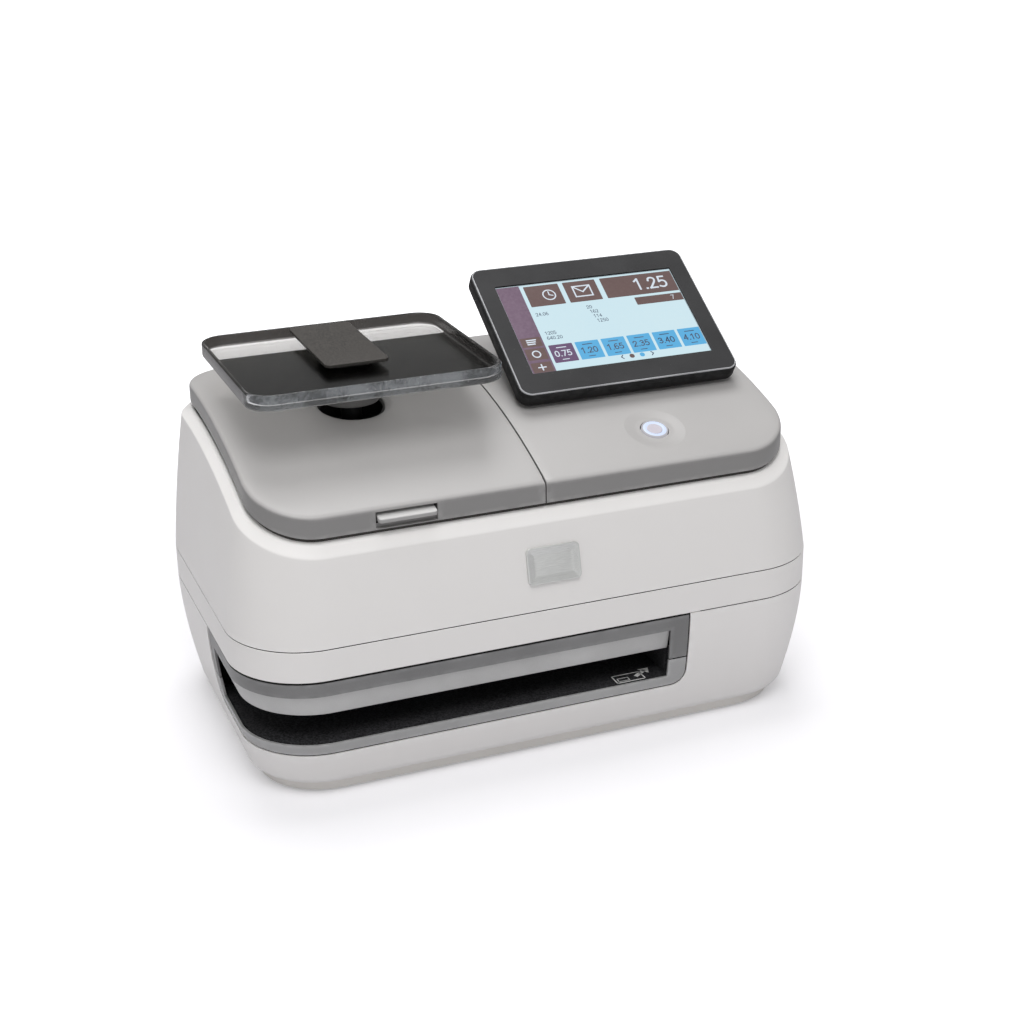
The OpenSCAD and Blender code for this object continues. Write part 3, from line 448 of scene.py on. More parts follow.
# Painted shade: dark fillers that stand in for the shade in seams and gaps; the lip's one is a lighter dark grey.
GAP_SHADE_BLACK = Finish("gap_shade_black", "deck_black", (34, 33, 33), 0.8, 0.8, 0.03, 0.1, 0.0, specular=0.1)
LIP_GAP_SHADE = Finish("lip_gap_shade_grey", "deck_black", (74, 72, 70), 0.8, 0.8, 0.03, 0.1, 0.0, specular=0.1)
WELL_BLACK = Finish("well_black", "deck_black", (16, 16, 17), 0.45, 0.5, 0.02, 0.1, 0.1)
STEM_DARK = Finish("stem_dark", "deck_black", (98, 97, 96), 0.32, 0.5, 0.02, 0.1, 0.2)
PRINT_WHITE = Finish("print_white", "deck_black", (246, 246, 244), 0.5, 0.3, 0.01, 0.05, 0.0)
PAD_DARK = Finish("ramp_pad_dark", "pad_dark", (66, 63, 60), 0.5, 1.2, 0.08, 0.5, 0.3, dust=0.06,
                  specular=0.3, side=(58, 56, 53), speckle=0.9)
DISPLAY_BLACK = Finish("display_black", "display_black", (61, 61, 62), 0.5, 0.28, 0.03, 0.2, 0.3,
                       dust=0.045, specular=0.1, side=(28, 28, 28))
# Painted highlight: a light grey that stands in for light caught by the bezel's chamfer.
BEZEL_HIGHLIGHT = Finish("bezel_highlight", "display_black", (170, 171, 174), 0.3, 0.3, 0.01, 0.3, 0.0)
BUTTON_GREY = Finish("button_grey", "button_grey", (200, 195, 204), 0.45, 0.4, 0.008, 0.03, 0.1, specular=0.2)
PAN_GREY = Finish("pan_grey", "pan_grey", (228, 225, 220), 0.5, 0.5, 0.02, 0.03, 0.1)
BADGE_SILVER = BrushedMetal("badge_silver", "badge_silver", (204, 205, 203), 0.34, depth_mm=0.004, metal=0.42,
                            lines=4600.0)
SMOKE = SmokedPlastic("smoked_tray", "tray_smoke", (224, 223, 221), 0.2, depth_mm=0.004, dust=0.09)
BUTTON_LIGHT = LitSurface("button_light", "button_light", (216, 230, 255), 0.3, spread=0.15, depth_mm=0.004,
                          glow=0.96)
# Painted glow: the pale rim glows softly, standing in for the ring's light falling on it.
BUTTON_RIM_GLOW = LitSurface("button_rim_glow", "button_light", (238, 236, 243), 0.4, spread=0.1, depth_mm=0.004, glow=0.5)
SCREEN_PALE = screen("pale", (209, 234, 242), 0.35, (196, 228, 242))

CAD_FINISHES: dict[Finish, tuple[str, ...]] = {
    PAN_GREY: ("bottom_pan",),
    Finish("foot_rubber", "foot_rubber", (40, 40, 40), 0.8, 0.6, 0.08, 0.15, 0.0): ("rubber_feet",),
    DECK_BLACK: ("letter_deck", "letter_guide", "print_guide", "pressure_plate", "power_inlet"),
    Finish("carriage_grey", "carriage_grey", (92, 94, 98), 0.45, 0.45, 0.02, 0.06, 0.0):
        ("print_carriage", "plate_guide"),
    Finish("cartridge_blue", "cartridge_blue", (74, 84, 120), 0.35, 0.5, 0.01, 0.06, 0.0): ("ink_cartridges",),
    Finish("pad_rubber", "pad_rubber", (58, 58, 58), 0.85, 0.5, 0.05, 0.12, 0.0): ("capping_pad",),
    Finish("motor_grey", "motor_grey", (110, 112, 115), 0.38, 0.3, 0.02, 0.08, 0.0, metal=0.6): ("drive_motor",),
    Finish("belt_rubber", "belt_rubber", (36, 36, 37), 0.75, 0.8, 0.05, 0.15, 0.0): ("carriage_belt",),
    Finish("board_green", "board_green", (34, 104, 66), 0.4, 1.2, 0.02, 0.16, 0.0):
        ("main_board", "display_board", "button_switch"),
    Finish("bracket_dark", "bracket_dark", (66, 66, 68), 0.45, 0.35, 0.02, 0.06, 0.0): ("display_bracket",),
    BrushedMetal("screw_steel", "screw_steel", (158, 158, 162), 0.34): ("case_screws",),
    BrushedMetal("sheet_steel", "sheet_steel", (186, 188, 190), 0.36):
        ("spine_plate", "rod_brackets", "power_supply", "data_socket", "latch_keeper", "load_cell_bracket"),
    BrushedMetal("rod_steel", "rod_steel", (206, 208, 212), 0.2, lines=900.0):
        ("guide_rods", "idler_axle", "cover_hinge_pins", "latch_pin", "display_hinge_pin"),
    BrushedMetal("pulley_alu", "pulley_alu", (196, 198, 202), 0.3): ("motor_pulley", "idler_pulley"),
    BrushedMetal("cell_alu", "cell_alu", (202, 204, 206), 0.3): ("load_cell",),
    BrushedMetal("black_anodised", "cell_alu", (30, 30, 31), 0.4, metal=0.4): ("weigh_post",),
}


class Body(Enum):
    """Bodies of the machine that pieces ride on."""

    HOUSING = "housing"
    SCALE_LID = "scale_lid"
    WEIGH_PLATE = "weigh_plate"
    LATCH = "latch"
    DISPLAY = "display"
    BUTTON = "power_button"


def place_piece(piece: bpy.types.Object, finish: Finish, body: str, *nodes: str) -> None:
    """Lets a piece ride on a body and logs it.

    Args:
        piece: the piece.
        finish: its finish; not used.
        body: the body's name.
        nodes: the solids that it stands for.
    """
    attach(piece, body)
    if nodes:
        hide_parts(*nodes)
    LOG.info("%s on %s, %d faces", piece.name, body, len(piece.data.polygons))


@dataclass
class Surface:
    """A mesh gathered from grids of points in millimetres and welded where the grids meet.

    Points within one cell of the weld's width become one. The mark of an edge grows from 0 where its faces turn
    by the flat angle to 1 where they turn by further degrees.
    """

    name: str
    weld: float = 0.004
    flat: float = 9.0
    further: float = 16.0
    bevel_from: float = 45.0
    points: list[Array] = field(default_factory=list)
    quads: list[Array] = field(default_factory=list)

    def _store(self, grid: Array) -> Array:
        """Keeps a grid's points.

        Args:
            grid: points of shape (rings, stations, 3).

        Returns:
            The points' numbers in the grid's own shape.
        """
        start = sum(len(v) for v in self.points)
        self.points.append(grid.reshape(-1, 3))
        return start + np.arange(grid.shape[0] * grid.shape[1]).reshape(grid.shape[:2])

    @staticmethod
    def _cells(numbers: Array, keep: Array | None) -> Array:
        """Quads between the rows and columns of a grid of point numbers."""
        quads = np.stack((numbers[:-1, :-1], numbers[:-1, 1:], numbers[1:, 1:], numbers[1:, :-1]), axis=-1)
        return quads.reshape(-1, 4) if keep is None else quads[keep]

    def add(self, grid: Array, closed: bool = False, tube: bool = False, keep: Array | None = None) -> "Surface":
        """Adds a grid whose rows are rings.

        Args:
            grid: points of shape (rings, stations, 3).
            closed: whether the last station joins the first.
            tube: whether the last ring joins the first.
            keep: cells that stay, as true values.

        Returns:
            The surface itself.
        """
        numbers = self._store(grid)
        if closed:
            numbers = np.hstack((numbers, numbers[:, :1]))
        if tube:
            numbers = np.vstack((numbers, numbers[:1]))
        self.quads.append(self._cells(numbers, keep))
        return self

    def add_wall(self, outer: Array, inner: Array, keep: Array, closed: bool = False) -> "Surface":
        """Adds two like grids and joins them round every edge of the kept cells.

        Args:
            outer: points of the outer face.
            inner: points of the inner face, station by station behind the outer ones.
            keep: cells that stay.
            closed: whether the last station joins the first.

        Returns:
            The surface itself.
        """
        front, back = self._store(outer), self._store(inner)
        if closed:
            front, back = (np.hstack((v, v[:, :1])) for v in (front, back))
        self.quads += [self._cells(front, keep), self._cells(back, keep)[:, ::-1]]
        rows = np.pad(keep, ((1, 1), (0, 0)))
        i, j = np.nonzero(rows[:-1] != rows[1:])
        self.quads.append(np.stack((front[i, j], front[i, j + 1], back[i, j + 1], back[i, j]), axis=-1))
        if closed:
            i, j = np.nonzero(keep != np.roll(keep, 1, axis=1))
        else:
            columns = np.pad(keep, ((0, 0), (1, 1)))
            i, j = np.nonzero(columns[:, :-1] != columns[:, 1:])
        self.quads.append(np.stack((front[i, j], front[i + 1, j], back[i + 1, j], back[i, j]), axis=-1))
        return self

    def _welded(self) -> tuple[Array, list[list[int]]]:
        """Merges doubled points.

        Returns:
            The points that are left, and the faces with their collapsed corners dropped.
        """
        points, quads = np.concatenate(self.points), np.concatenate(self.quads)
        cells = np.round(points / self.weld).astype(np.int64)
        _, first, where = np.unique(cells, axis=0, return_index=True, return_inverse=True)
        quads = where.reshape(-1)[quads]
        same = quads == np.roll(quads, -1, axis=1)
        doubles = same.sum(axis=1)
        crossed = (quads[:, 0] == quads[:, 2]) | (quads[:, 1] == quads[:, 3])
        whole = quads[(doubles == 0) & ~crossed]
        thin = (doubles == 1) & ~crossed
        return points[first], whole.tolist() + quads[thin][~same[thin]].reshape(-1, 3).tolist()

    def _mark_edges(self, mesh: bpy.types.Mesh) -> None:
        """Stores an edge value at each point, from 0 where faces meet flat to 1 where they turn sharply.

        Args:
            mesh: the mesh, which gets the attribute "edge".
        """
        faces = len(mesh.polygons)
        edge_of, normals = np.zeros(len(mesh.loops), np.int32), np.zeros(faces * 3, np.float32)
        totals, ends = np.zeros(faces, np.int32), np.zeros(len(mesh.edges) * 2, np.int32)
        mesh.loops.foreach_get("edge_index", edge_of)
        mesh.polygons.foreach_get("normal", normals)
        mesh.polygons.foreach_get("loop_total", totals)
        mesh.edges.foreach_get("vertices", ends)
        normals, ends = normals.reshape(-1, 3), ends.reshape(-1, 2)
        face_of = np.repeat(np.arange(faces), totals)
        order = np.argsort(edge_of, kind="stable")
        edges = edge_of[order]
        pair = np.nonzero(edges[:-1] == edges[1:])[0]
        turn = np.einsum("ij,ij->i", normals[face_of[order[pair]]], normals[face_of[order[pair + 1]]])
        angle = np.degrees(np.arccos(np.clip(turn, -1.0, 1.0)))
        share = np.clip((angle - self.flat) / self.further, 0.0, 1.0).astype(np.float32)
        value = np.zeros(len(mesh.vertices), np.float32)
        for side in (0, 1):
            np.maximum.at(value, ends[edges[pair], side], share)
        mesh.attributes.new("edge", "FLOAT", "POINT").data.foreach_set("value", value)

    def _mesh(self, shell: bool) -> bpy.types.Mesh:
        """Makes the mesh.

        Args:
            shell: whether it is a closed shell whose faces are turned outwards.

        Returns:
            The mesh in metres, shaded smooth.
        """
        points, faces = self._welded()
        mesh = bpy.data.meshes.new(self.name)
        mesh.from_pydata((points * MM).tolist(), [], faces)
        if shell:
            work = bmesh.new()
            work.from_mesh(mesh)
            bmesh.ops.recalc_face_normals(work, faces=work.faces[:])
            work.to_mesh(mesh)
            work.free()
        mesh.update(calc_edges=True)
        self._mark_edges(mesh)
        mesh.shade_smooth()
        return mesh

    def piece(self, finish: Finish, body: Body, *nodes: str, sharp: float = 38.0, shell: bool = True,
              bevel: float = 0.0) -> None:
        """Makes the surface's object and puts it on its body.

        Args:
            finish: the surface's finish.
            body: the body that it rides on.
            nodes: the solids that it stands for.
            sharp: angle in degrees past which an edge stays sharp.
            shell: whether it is a closed shell whose faces are turned outwards.
            bevel: width in millimetres that a Bevel modifier rounds its sharp edges by.
        """
        mesh = self._mesh(shell)
        mesh.materials.append(finish.material())
        made = bpy.data.objects.new(self.name, mesh)
        bpy.context.scene.collection.objects.link(made)
        if bevel:
            rounding = made.modifiers.new("rounded_edges", "BEVEL")
            rounding.width, rounding.segments = bevel * MM, 3
            rounding.limit_method, rounding.angle_limit = "ANGLE", math.radians(self.bevel_from)
            rounding.harden_normals = True
        else:
            mesh.set_sharp_from_angle(angle=math.radians(sharp))
        place_piece(made, finish, body.value, *nodes)


def pairs(x: Array | float, y: Array | float) -> Array:
    """Plan points of two coordinates, either of which may be one value for all."""
    return np.stack(np.broadcast_arrays(x, y), axis=-1)


def lift(plan: Array, height: Array | float) -> Array:
    """Puts plan points at heights.

    Args:
        plan: plan points of shape (..., 2).
        height: one height for all, one for each ring, or one for each point.

    Returns:
        Points of shape (..., 3).
    """
    height = np.asarray(height, float)
    if height.ndim == 1 and plan.ndim == 3:
        height = height[:, None]
    return np.concatenate((plan, np.broadcast_to(height, plan.shape[:-1])[..., None]), axis=-1)


def stations(low: float, high: float, step: float, *marks: float) -> Array:
    """Spreads places evenly between two ends, with marks that push out the even places next to them.

    Args:
        low: the first place.
        high: the last place.
        step: about how far apart the even places are.
        marks: places that have to be there.

    Returns:
        All places in order.
    """
    even = np.linspace(low, high, max(2, round((high - low) / step) + 1))
    fixed = np.array(sorted(marks), float)
    if fixed.size:
        even = even[np.abs(even[:, None] - fixed[None]).min(axis=1) > 0.45 * step]
    return np.unique(np.concatenate((even, fixed)))


def capped(rings: Array) -> Array:
    """Rings with a point ring added at each end, in the middle of the end ring."""
    first, last = (np.broadcast_to(rings[k].mean(axis=0), rings[k].shape) for k in (0, -1))
    return np.concatenate((first[None], rings, last[None]))


def lathe(profile: Line | Array, steps: int, x: float = 0.0, y: float = 0.0) -> Array:
    """Turns a profile round an upright axis: x + r cos t, y + r sin t, h.

    Args:
        profile: pairs (radius, height).
        steps: stations of a turn.
        x: the axis's place along X.
        y: the axis's place along Y.

    Returns:
        A ring for each pair.
    """
    t = np.linspace(0.0, 2.0 * np.pi, steps, endpoint=False)
    radius, height = np.array(profile, float).T
    return lift(pairs(x + radius[:, None] * np.cos(t), y + radius[:, None] * np.sin(t)), height)


def barrel(bore: float, radius: float, half: float, steps: int, ease: float = 0.4) -> Array:
    """Turns a sleeve with eased ends round X.

    Args:
        bore: radius of its hole.
        radius: radius of its outside.
        half: half its length.
        steps: stations of a turn.
        ease: width of the chamfers at its ends.

    Returns:
        Its rings, as a tube about the origin.
    """
    low = ((bore, -half), (radius - ease, -half), (radius, ease - half))
    profile = (*low, *((r, -h) for r, h in low[::-1]))
    return lathe(profile, steps)[..., [2, 0, 1]]


def arc(radius: float, start: float, end: float, steps: int) -> Array:
    """Points of a circle's arc as (radius cos a, radius sin a), from start to end in degrees."""
    a = np.radians(np.linspace(start, end, steps + 1))
    return radius * pairs(np.cos(a), np.sin(a))


def smooth(points: Array, parts: int = 6) -> Array:
    """Draws a curve through points (Catmull-Rom).

    With p0 to p3 four points in a row and u from 0 to 1 between p1 and p2, the curve is
    p1 + 0.5 ((p2 - p0) u + (2 p0 - 5 p1 + 4 p2 - p3) u^2 + (3 p1 - p0 - 3 p2 + p3) u^3).

    Args:
        points: the points.
        parts: steps from one point to the next.

    Returns:
        Points of the curve.
    """
    p = np.vstack((2 * points[0] - points[1], points, 2 * points[-1] - points[-2]))
    p0, p1, p2, p3 = (p[k:len(p) - 3 + k, None] for k in range(4))
    u = np.linspace(0.0, 1.0, parts, endpoint=False)[None, :, None]
    square, cube = 2 * p0 - 5 * p1 + 4 * p2 - p3, 3 * p1 - p0 - 3 * p2 + p3
    curve = p1 + 0.5 * ((p2 - p0) * u + square * u ** 2 + cube * u ** 3)
    return np.vstack((curve.reshape(-1, 2), points[-1:]))


def ribbon(points: Array, width: float) -> Array:
    """Lays a flat strip along a line: p - n w / 2 and p + n w / 2, with n square to the line's run.

    Args:
        points: the line, which the strip's square ends pass by half the width.
        width: the strip's width w.

    Returns:
        The strip's two edges.
    """
    run = np.gradient(points, axis=0)
    run = run / np.linalg.norm(run, axis=1, keepdims=True)
    side = 0.5 * width * pairs(-run[:, 1], run[:, 0])
    line = points.astype(float)
    line[0] -= 0.5 * width * run[0]
    line[-1] += 0.5 * width * run[-1]
    return np.stack((line - side, line + side))


def box_sides(x0: float, y0: float, x1: float, y1: float) -> list[Line]:
    """The four sides of an upright box, walked counter-clockwise from its lower left corner."""
    corners = [(x0, y0), (x1, y0), (x1, y1), (x0, y1), (x0, y0)]
    return list(zip(corners[:-1], corners[1:]))


@dataclass(frozen=True)
class PlanPath:
    """Rounded rectangle in plan, walked counter-clockwise from the left end of its front.

    Stations along the straight sides stay put, and the corners follow the half sizes and the radius:
    a corner point is (sx (a - r) + r cos t, sy (b - r) + r sin t).
    """

    front: Array = field(default_factory=lambda: np.zeros(0))
    right: Array = field(default_factory=lambda: np.zeros(0))
    back: Array = field(default_factory=lambda: np.zeros(0))
    left: Array = field(default_factory=lambda: np.zeros(0))
    steps: int = 16

    @classmethod
    def even(cls, half_x: float, half_y: float, step: float, steps: int) -> "PlanPath":
        """A path with even stations within a half length of each side's middle."""
        long, short = (stations(-h, h, step) for h in (half_x, half_y))
        return cls(long, short, long, short, steps)

    def rings(self, a: Array | float, b: Array | float, r: Array | float) -> Array:
        """Walks the path at several sizes.

        Args:
            a: half width of each ring.
            b: half depth of each ring.
            r: corner radius of each ring.

        Returns:
            Plan points of shape (rings, stations, 2).
        """
        sizes = np.broadcast_arrays(*(np.atleast_1d(np.asarray(v, float)) for v in (a, b, r)))
        a, b, r = (v[:, None] for v in sizes)
        t = np.radians(np.linspace(0.0, 90.0, self.steps + 1))

        def corner(sx: int, sy: int, turn: float) -> Array:
            """One round corner."""
            angle = t + math.radians(turn)
            return pairs(sx * (a - r) + r * np.cos(angle), sy * (b - r) + r * np.sin(angle))

        side = np.ones_like(a)
        return np.concatenate((
            pairs(side * self.front, -b), corner(1, -1, -90.0), pairs(a, side * self.right), corner(1, 1, 0.0),
            pairs(side * self.back[::-1], b), corner(-1, 1, 90.0), pairs(-a, side * self.left[::-1]),
            corner(-1, -1, 180.0)), axis=1)


@dataclass(frozen=True)
class Slab:
    """Plate with a rounded outline and rounded upper and lower edges."""

    half_x: float
    half_y: float
    corner: float
    low: float
    high: float
    round_low: float
    round_high: float
    arcs: int = 5
    steps: int = 10
    flat: float = 0.6
    clear: float = 4.0
    step: float = 12.0

    def rings(self) -> Array:
        """Goes from the middle of the underside round the edge to the middle of the top.

        An edge of radius f is the arc inset = f (1 - sin p), height = f (1 - cos p) for p from 0 to 90 degrees.

        Returns:
            The slab's rings about the origin.
        """
        p = np.radians(np.linspace(0.0, 90.0, self.arcs + 1))
        f, g = self.round_low, self.round_high
        inset = np.concatenate(([f + self.flat], f * (1 - np.sin(p)), g * (1 - np.sin(p[::-1])), [g + self.flat]))
        height = np.concatenate(([self.low], self.low + f * (1 - np.cos(p)),
                                 self.high - g * (1 - np.cos(p[::-1])), [self.high]))
        straight = []
        for half in (self.half_x, self.half_y):
            reach = half - self.corner - self.clear
            straight.append(stations(-reach, reach, self.step) if reach > 0.5 * self.step else np.zeros(0))
        path = PlanPath(*straight, *straight, self.steps)
        plan = path.rings(self.half_x - inset, self.half_y - inset, np.maximum(self.corner - inset, 0.3))
        return capped(lift(plan, height))

    def at(self, x: float, y: float) -> Array:
        """The slab's rings moved in plan."""
        return self.rings() + np.array((x, y, 0.0))


@dataclass(frozen=True)
class Pose:
    """Local frame of a tilted sub-assembly: an origin and a turn round X."""

    origin: tuple[float, float, float]
    tilt: float = 0.0

    def world(self, points: Array) -> Array:
        """Turns local points by the tilt round X and moves them to the origin.

        Args:
            points: points in the local frame.

        Returns:
            The points in the frame of the solids.
        """
        c, s = math.cos(math.radians(self.tilt)), math.sin(math.radians(self.tilt))
        turn = np.array(((1.0, 0.0, 0.0), (0.0, c, -s), (0.0, s, c)))
        return points @ turn.T + np.array(self.origin)


@dataclass(frozen=True)
class Crown:
    """Arc that the covers follow from front to back."""

    top: float = 211.8
    radius: float = 418.6
    middle: float = 66.6

    def height(self, y: Array | float, drop: Array | float = 0.0) -> Array:
        """Height at depth y of the arc lowered by a drop: top - R + sqrt((R - drop)^2 - (y - middle)^2)."""
        return self.top - self.radius + np.sqrt((self.radius - drop) ** 2 - (np.asarray(y) - self.middle) ** 2)

    def raise_plan(self, plan: Array, drop: Array | float = 0.0) -> Array:
        """Plan points put on the arc at a drop."""
        return lift(plan, self.height(plan[..., 1], drop))


@dataclass(frozen=True)
class BodyForm:
    """Sizes that the shells of the body share."""

    half_w: float = 190.0
    half_d: float = 116.0
    corner: float = 49.0
    lower_seam: float = 81.6
    upper_seam: float = 102.0
    wall: float = 2.6
    groove: float = 0.6
    round_z: float = 15.5
    round_in: float = 14.0
    tuck: float = 9.0
    rim_drop: float = 20.2
    rim_lean: float = 10.3
    straight: tuple[float, float] = (126.0, 58.0)
    steps: int = 18
    crown: Crown = Crown()

    def plan(self, path: PlanPath, inset: Array | float) -> Array:
        """Rings of the body's outline at the given insets from its widest line."""
        inset = np.atleast_1d(np.asarray(inset, float))
        return path.rings(self.half_w - inset, self.half_d - inset, self.corner - 0.55 * inset)

    def base_inset(self, z: Array) -> Array:
        """Inset of the base wall at a height: tuck ((seam - z) / (seam - round))^1.7."""
        share = np.clip((self.lower_seam - z) / (self.lower_seam - self.round_z), 0.0, 1.0)
        return self.tuck * share ** 1.7

    def on_base(self, path: PlanPath, z: Array, extra: float, probe: float = 10.0) -> Array:
        """Finds points of the base wall.

        Args:
            path: the stations.
            z: heights of shape (rings, stations).
            extra: inset behind the wall's face.
            probe: inset of the second outline, between which and the first the points are found.

        Returns:
            Points of shape (rings, stations, 3).
        """
        outer, inner = self.plan(path, np.array((0.0, probe)))
        share = ((self.base_inset(z) + extra) / probe)[..., None]
        return lift(outer + (inner - outer) * share, z)

    def lean(self, t: Array | float) -> Array | float:
        """Inset of the upper wall at a share t of its climb: lean (0.65 t + 0.35 t^2)."""
        return self.rim_lean * (0.65 * t + 0.35 * t * t)

    def climb(self, path: PlanPath, share: Array, inset: Array) -> Array:
        """Finds rings of the upper wall, which climbs from the seam to a rim that follows the crown.

        Args:
            path: the stations.
            share: share of the climb of each ring.
            inset: inset of each ring.

        Returns:
            The rings.
        """
        plan = self.plan(path, inset)
        rim = self.crown.height(plan[..., 1], self.rim_drop)
        return lift(plan, self.upper_seam + share[:, None] * (rim - self.upper_seam))


@dataclass(frozen=True)
class SlotForm:
    """Opening of the letter slot round the front left corner of the base."""

    right: float = 90.0
    back: float = -13.0
    bottom: float = 31.0
    radius: float = 10.0
    end: float = 77.0
    leg: float = -25.0
    deck: float = 38.5
    strip: float = 72.0
    split: float = 51.0
    fade: float = 12.0

    def depth(self, plan: Array) -> Array:
        """How far a plan point lies inside the slot from its nearer end: min(right - x, back - y)."""
        return np.minimum(self.right - plan[..., 0], self.back - plan[..., 1])

    def edge(self, depth: Array, margin: float = 0.0) -> Array:
        """Finds the slot's lower edge: flat, with a quarter circle up to each end, fading out past it.

        Args:
            depth: depths inside the slot.
            margin: how far within the edge.

        Returns:
            Its height at each depth.
        """
        r, d = self.radius - margin, depth - margin
        curve = self.bottom + margin + r - np.sqrt(np.clip(r * r - np.clip(r - d, 0.0, r) ** 2, 0.0, None))
        return np.where(d >= 0.0, curve, self.bottom + r * np.exp(-((d / self.fade) ** 2)))

    def marks(self, margin: float = 0.0, parts: int = 6) -> tuple[list[float], list[float]]:
        """Stations on the front and on the left side that the rounded ends need."""
        steps = margin + (self.radius - margin) * (1.0 - np.cos(np.radians(np.linspace(0.0, 90.0, parts + 1))))
        return list(self.right - steps), list(self.back - steps)


@dataclass(frozen=True)
class LidForm:
    """Outline of the two covers together, and half the gap between them."""

    half_w: float = 173.0
    half_d: float = 101.0
    corner: float = 37.0
    split: float = 0.4


@dataclass(frozen=True)
class Hinge:
    """Line of the lid's hinge along X: its depth, height and radius, and the middles of its knuckles."""

    y: float = 105.5
    z: float = 199.24
    radius: float = 3.6
    middles: tuple[float, float] = (-140.0, -35.0)


@dataclass(frozen=True)
class ButtonAxis:
    """Axis of the power button, square to the crown."""

    crown: Crown
    x: float = 86.0
    y: float = -70.0
    lean: float = 19.046

    def pose(self) -> Pose:
        """Frame whose origin is on the crown and whose Z runs along the axis."""
        return Pose((self.x, self.y, float(self.crown.height(self.y))), self.lean)


@dataclass(frozen=True)
class Opening:
    """Hole for a socket in the back of the base: middle and half of its width, and its two heights."""

    middle: float
    half: float
    low: float
    high: float


@dataclass(frozen=True)
class Shells:
    """White shells of the body, the pan's rim, and the dark beads that paint shade into their seams and under the
    covers' lip.

    Posts are places along X, places along Y and a height. The rim's corner, its bevel's ends, the mouth and the
    lid's bead are pairs (inset, drop below the crown), a bead's section is pairs (inset, height) about its seam,
    and an ear is pairs (place along X, scale of its outline).
    """

    form: BodyForm
    slot: SlotForm
    lid: LidForm
    hinge: Hinge
    sockets: tuple[Opening, ...] = (Opening(110.0, 14.1, 51.6, 72.4), Opening(0.0, 8.4, 16.2, 31.0))
    back_from: float = 100.0
    levels: tuple[float, ...] = (15.5, 16.2, 20.0, 25.0, 31.0, 35.0, 39.0, 43.0, 47.0, 51.6, 56.5, 62.0, 67.5,
                                 72.4, 77.0, 81.6)
    round_drop: float = 9.5
    floor: float = 2.5
    posts: tuple[tuple[tuple[float, float], tuple[float, float], float], ...] = (
        ((-158.0, 158.0), (-60.0, 60.0), 8.0), ((-142.0, 12.0), (30.0, 85.0), 7.5))
    post_foot: float = 7.5
    pan_out: float = 16.9
    pan_in: float = 21.0
    pan_low: float = 1.55
    pan_high: float = 7.4
    pan_round: float = 2.0
    groove_depth: float = 1.2
    band_round: float = 0.4
    band_ease: float = 2.0
    rim_corner: tuple[float, float] = (10.5, 19.65)
    rim_bevel: Line = ((10.9, 19.2), (14.2, 16.2))
    mouth: Line = ((14.7, 15.8), (15.4, 15.5), (18.1, 15.5), (18.5, 15.9), (18.5, 17.9), (14.0, 22.0))
    ear: Line = ((0.0, 0.93), (0.25, 1.0), (3.25, 1.0), (3.5, 0.93))
    ear_sides: tuple[float, float] = (-12.9, 9.4)
    ear_foot: float = 15.0
    bead: Line = ((0.34, -0.28), (1.3, -0.28), (1.3, 0.28), (0.34, 0.28))
    bead_gap: tuple[float, float] = (90.0, 97.0)
    lip_shade_bead: Line = ((2.9, 13.2), (3.7, 13.2), (3.7, 16.2), (2.9, 16.2))

    def base(self) -> None:
        """Base shell: the wall at base_inset(z) from the seam to the round, then the round and the floor.

        Ring lines below the slot bend up to its rounded ends, and cells of the slot and sockets are left out.
        """
        f, s = self.form, self.slot
        fronts, lefts = s.marks()
        sides = [hole.middle + k * hole.half for hole in self.sockets for k in (-1, 1)]
        long, short = f.straight
        path = PlanPath(stations(-long, long, 6.0, *fronts), stations(-short, short, 8.0),
                        stations(-long, long, 7.0, *sides), stations(-short, short, 6.0, *lefts), f.steps)
        plan = f.plan(path, 0.0)[0]
        level = np.array(self.levels)[:, None]
        edge = s.edge(s.depth(plan))[None]
        below = f.round_z + (level - f.round_z) * (edge - f.round_z) / (s.bottom - f.round_z)
        above = edge + (level - s.bottom) * (f.lower_seam - edge) / (f.lower_seam - s.bottom)
        z = np.where(level <= s.bottom, below, above)
        t = np.radians(np.linspace(90.0, 0.0, 8))[:-1]
        turned = f.tuck + f.round_in * (1 - np.cos(t))
        faces = []
        for extra, thick in ((0.0, 0.0), (f.wall, self.floor)):
            outline = f.plan(path, turned + extra * np.cos(t))
            rounds = lift(outline, f.round_z - (self.round_drop - thick) * np.sin(t))
            flat, inner = (rounds[:1] * np.array((k, k, 1.0)) for k in (0.0, 0.55))
            faces.append(np.concatenate((flat, inner, rounds, f.on_base(path, z, extra))))
        middle = 0.5 * (plan + np.roll(plan, -1, axis=0))
        first = len(faces[0]) - len(level)
        row = np.concatenate((np.zeros(first), 0.5 * (level[:-1, 0] + level[1:, 0])))[:, None]
        cut = ((middle[:, 0] < s.right) & (middle[:, 1] < s.back))[None] & (row > s.bottom)
        for hole in self.sockets:
            behind = (np.abs(middle[:, 0] - hole.middle) < hole.half) & (middle[:, 1] > self.back_from)
            cut |= behind[None] & (row > hole.low) & (row < hole.high)
        surface = Surface("base_skin").add_wall(*faces, ~cut, closed=True)
        for xs, ys, tall in self.posts:
            top = self.post_foot + tall
            profile = ((0.0, 7.9), (4.0, 7.9), (3.9, top - 0.5), (3.4, top), (0.0, top))
            for x in xs:
                for y in ys:
                    surface.add(lathe(profile, 24, x, y), closed=True)
        surface.piece(WHITE_SHELL, Body.HOUSING, "base_shell", bevel=0.35)

    def _carried(self, name: str, profile: Array) -> Surface:
        """A closed profile of (inset, height) carried round the body's outline."""
        plan = self.form.plan(PlanPath.even(*self.form.straight, 9.0, self.form.steps), profile[:, 0])
        return Surface(name).add(lift(plan, profile[:, 1]), closed=True, tube=True)

